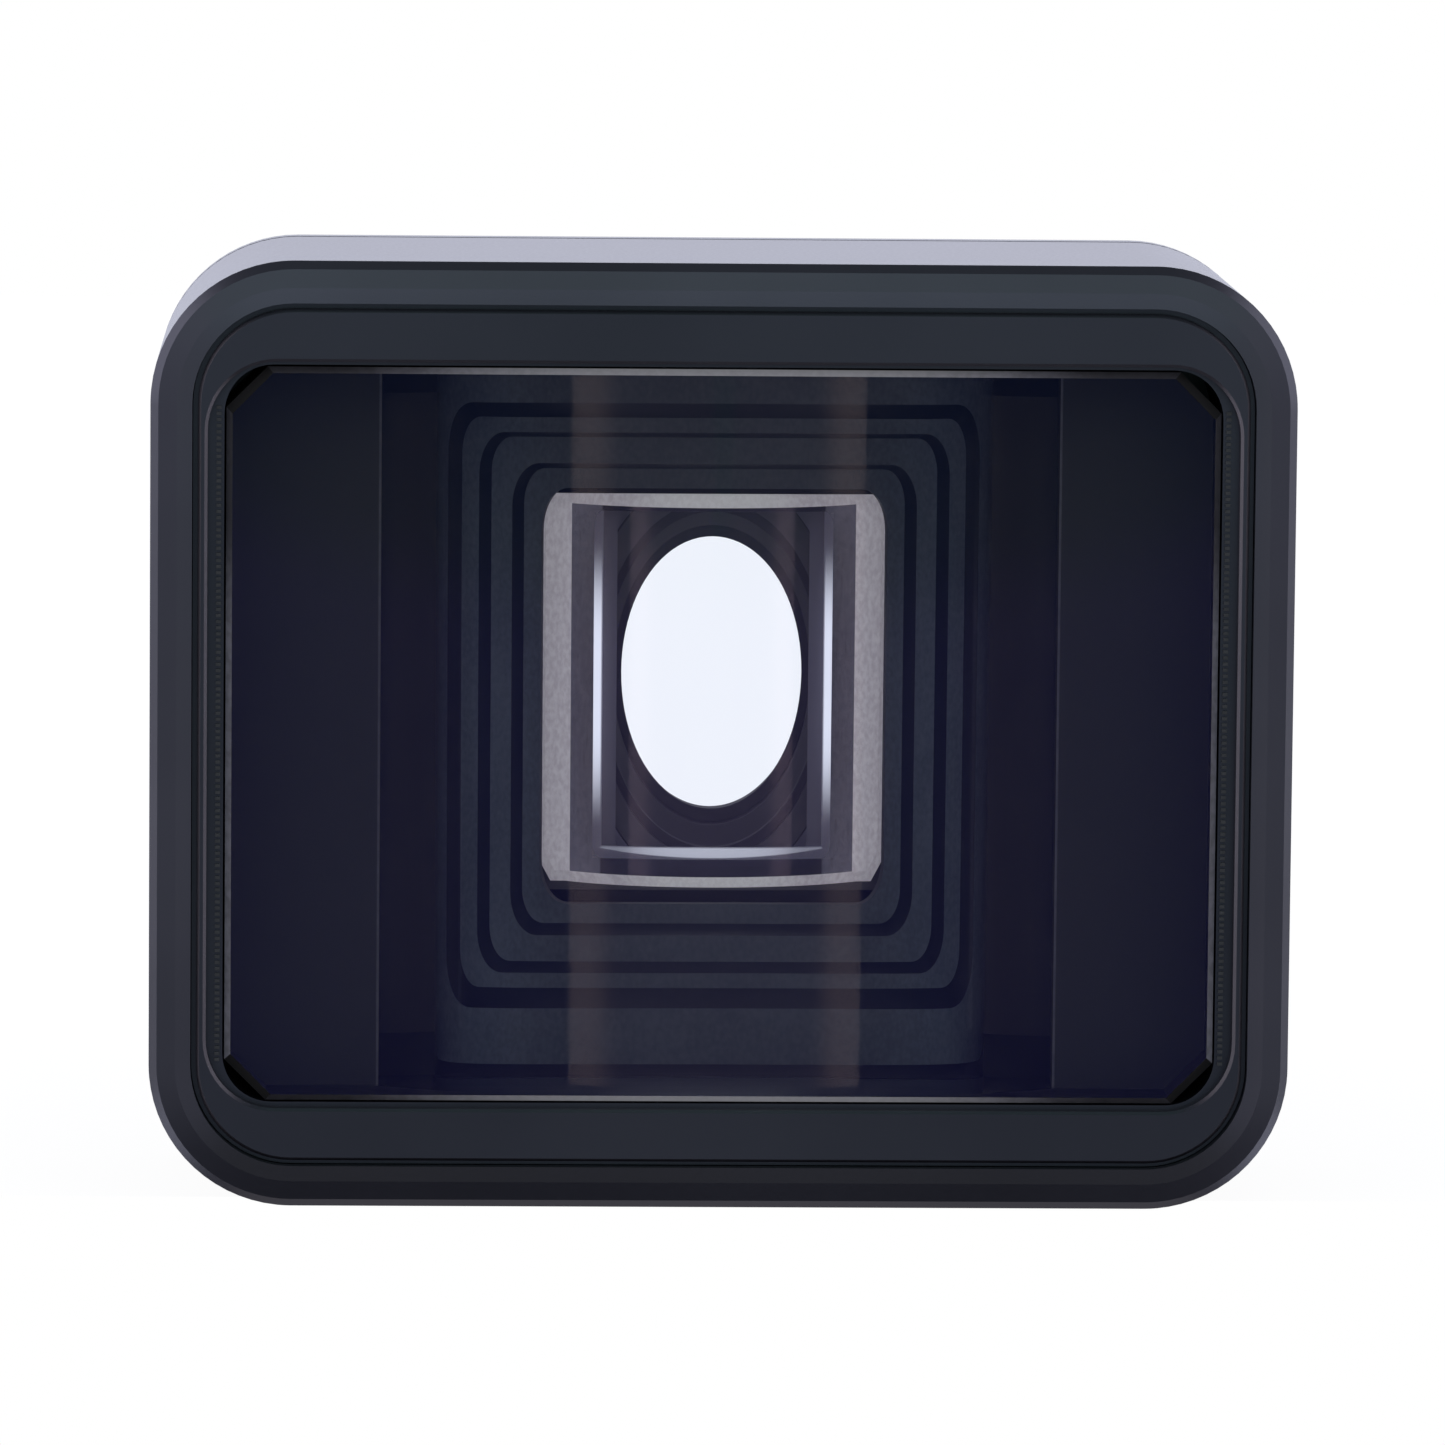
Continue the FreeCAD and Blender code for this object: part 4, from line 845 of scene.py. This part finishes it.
def pale_table():
    material = bpy.data.materials.new("table_white")
    material.use_nodes = True
    material.node_tree.nodes.clear()
    pen = Shade(material.node_tree)
    paper = pen.grain(30.0, 3.0).tint(*PAPER_TONES)
    matt = pen.node("BsdfDiffuse", {}, {"Color": paper})
    through = pen.node("LightPath", {}, {}, "Is Transmission Ray")
    tone = through.tint(WHITE, THROUGH_GLASS)
    white = pen.node("Emission", {}, {"Color": tone, "Strength": TABLE_GLOW})
    seen = pen.node("LightPath", {}, {}, "Is Camera Ray")
    mixed = pen.node("MixShader", {}, {0: (seen + through) * GLOW_SHARE, 1: matt, 2: white})
    mixed.feed(pen.tree.nodes.new("ShaderNodeOutputMaterial"), "Surface")
    return material


table_mesh = bpy.data.meshes.new("table")
table_z = cad_box[0][2] - TABLE_GAP * MM
table_mesh.from_pydata(
    [
        (side * MM, depth * MM, table_z)
        for side, depth in (
            (-TABLE_SIDE, -TABLE_FRONT),
            (TABLE_SIDE, -TABLE_FRONT),
            (TABLE_SIDE, TABLE_REAR),
            (-TABLE_SIDE, TABLE_REAR),
        )
    ],
    [],
    [(0, 1, 2, 3)],
)
table_mesh.materials.append(pale_table())
table = bpy.data.objects.new("table", table_mesh)
scene.collection.objects.link(table)


# The light comes from white walls at the sides and behind, and from a soft panel above the
# camera. The rest of the room in front is dim, which keeps the glass dark, and a grey floor
# straight below lights the lower edges. The camera sees plain white instead.
PANEL_LIGHT, DEEP_FRONT = (1.25, 1.27, 1.4), (0.03, 0.03, 0.035)
FRONT_WALL, FRONT_GROUND = (0.18, 0.32, 0.27), (0.34, 0.35, 0.42)
REAR_WALL, SIDE_WALL = (0.88, 0.90, 1.06), (1.7, 1.5, 1.42)
LOW_END, HIGH_END, FLOOR = (0.06, 0.06, 0.07), (0.13, 0.135, 0.16), (0.38, 0.36, 0.38)
GROUND_MIDDLE, GROUND_BEND, GROUND_EDGE = 0.033, 3.66, (0.094, 0.107)
BEHIND = (-0.2, 0.1)


def room():
    world = bpy.data.worlds.new("room")
    scene.world = world
    world.use_nodes = True
    pen = Shade(world.node_tree)
    x, y, z = pen.axes("Generated")
    level = (x * x + y * y) ** 0.5
    panel = z.rise(-0.02, 0.12) * 0.16 + z.rise(0.34, 0.52) * 0.84 - z.rise(0.6, 0.82) * 0.93
    bend = (x - GROUND_MIDDLE) * (x - GROUND_MIDDLE) * GROUND_BEND
    dim = (bend - z).rise(*GROUND_EDGE).tint(FRONT_WALL, FRONT_GROUND)
    deep = (-1.0 * z).rise(0.15, 0.4)
    front_side = panel.tint(deep.tint(dim, DEEP_FRONT), PANEL_LIGHT)
    at_side = y.rise(-0.8, -0.6) - y.rise(*BEHIND)
    walls = at_side.tint(REAR_WALL, SIDE_WALL)
    ends = z.rise(-0.5, 0.5).tint(LOW_END, HIGH_END)
    in_front = (-1.0 * y / (level + 0.001)).rise(0.5, 0.78)
    around = in_front.tint((z * z).rise(0.3, 0.75).tint(walls, ends), front_side)
    around = (-1.0 * z).rise(0.82, 0.95).tint(around, FLOOR)
    through = pen.node("LightPath", {}, {}, "Is Transmission Ray") * y.rise(*BEHIND)
    seen = pen.node("LightPath", {}, {}, "Is Camera Ray")
    colour = seen.tint(through.tint(around, THROUGH_GLASS), WHITE)
    colour.feed(world.node_tree.nodes["Background"], "Color")


room()


# The camera stands a little left of the lens and above it, with a long lens, a touch turned.
AZIMUTH, ELEVATION, ROLL = math.radians(-1.9), math.radians(6.5), math.radians(0.53)
CAMERA_AWAY_M, SENSOR_MM = 0.5, 36.0
PIXELS_PER_MM, PICTURE, FACE_PIXEL_Y = 20.45, 1445, 739.2
back = Vector(
    (
        math.sin(AZIMUTH) * math.cos(ELEVATION),
        -math.cos(AZIMUTH) * math.cos(ELEVATION),
        math.sin(ELEVATION),
    )
)
right = Vector((0, 0, 1)).cross(back).normalized()
up = back.cross(right)
rolled = [
    right * math.cos(ROLL) + up * math.sin(ROLL),
    up * math.cos(ROLL) - right * math.sin(ROLL),
    back,
]
camera_data = bpy.data.cameras.new("camera")
camera = bpy.data.objects.new("camera", camera_data)
scene.collection.objects.link(camera)
face_centre = Vector((0.0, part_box("front_housing")[0][1], 0.0))
turned_to = Matrix(rolled).transposed().to_4x4()
camera.matrix_world = Matrix.Translation(face_centre + back * CAMERA_AWAY_M) @ turned_to
camera_data.sensor_width = SENSOR_MM
camera_data.lens = PIXELS_PER_MM / MM * CAMERA_AWAY_M * SENSOR_MM / PICTURE
camera_data.shift_y = (FACE_PIXEL_Y - PICTURE / 2) / PICTURE
camera_data.clip_start = 0.01
scene.camera = camera

scene.view_settings.view_transform = "Standard"
GLASS_BOUNCES = 24
scene.cycles.max_bounces = GLASS_BOUNCES
scene.cycles.transmission_bounces = GLASS_BOUNCES
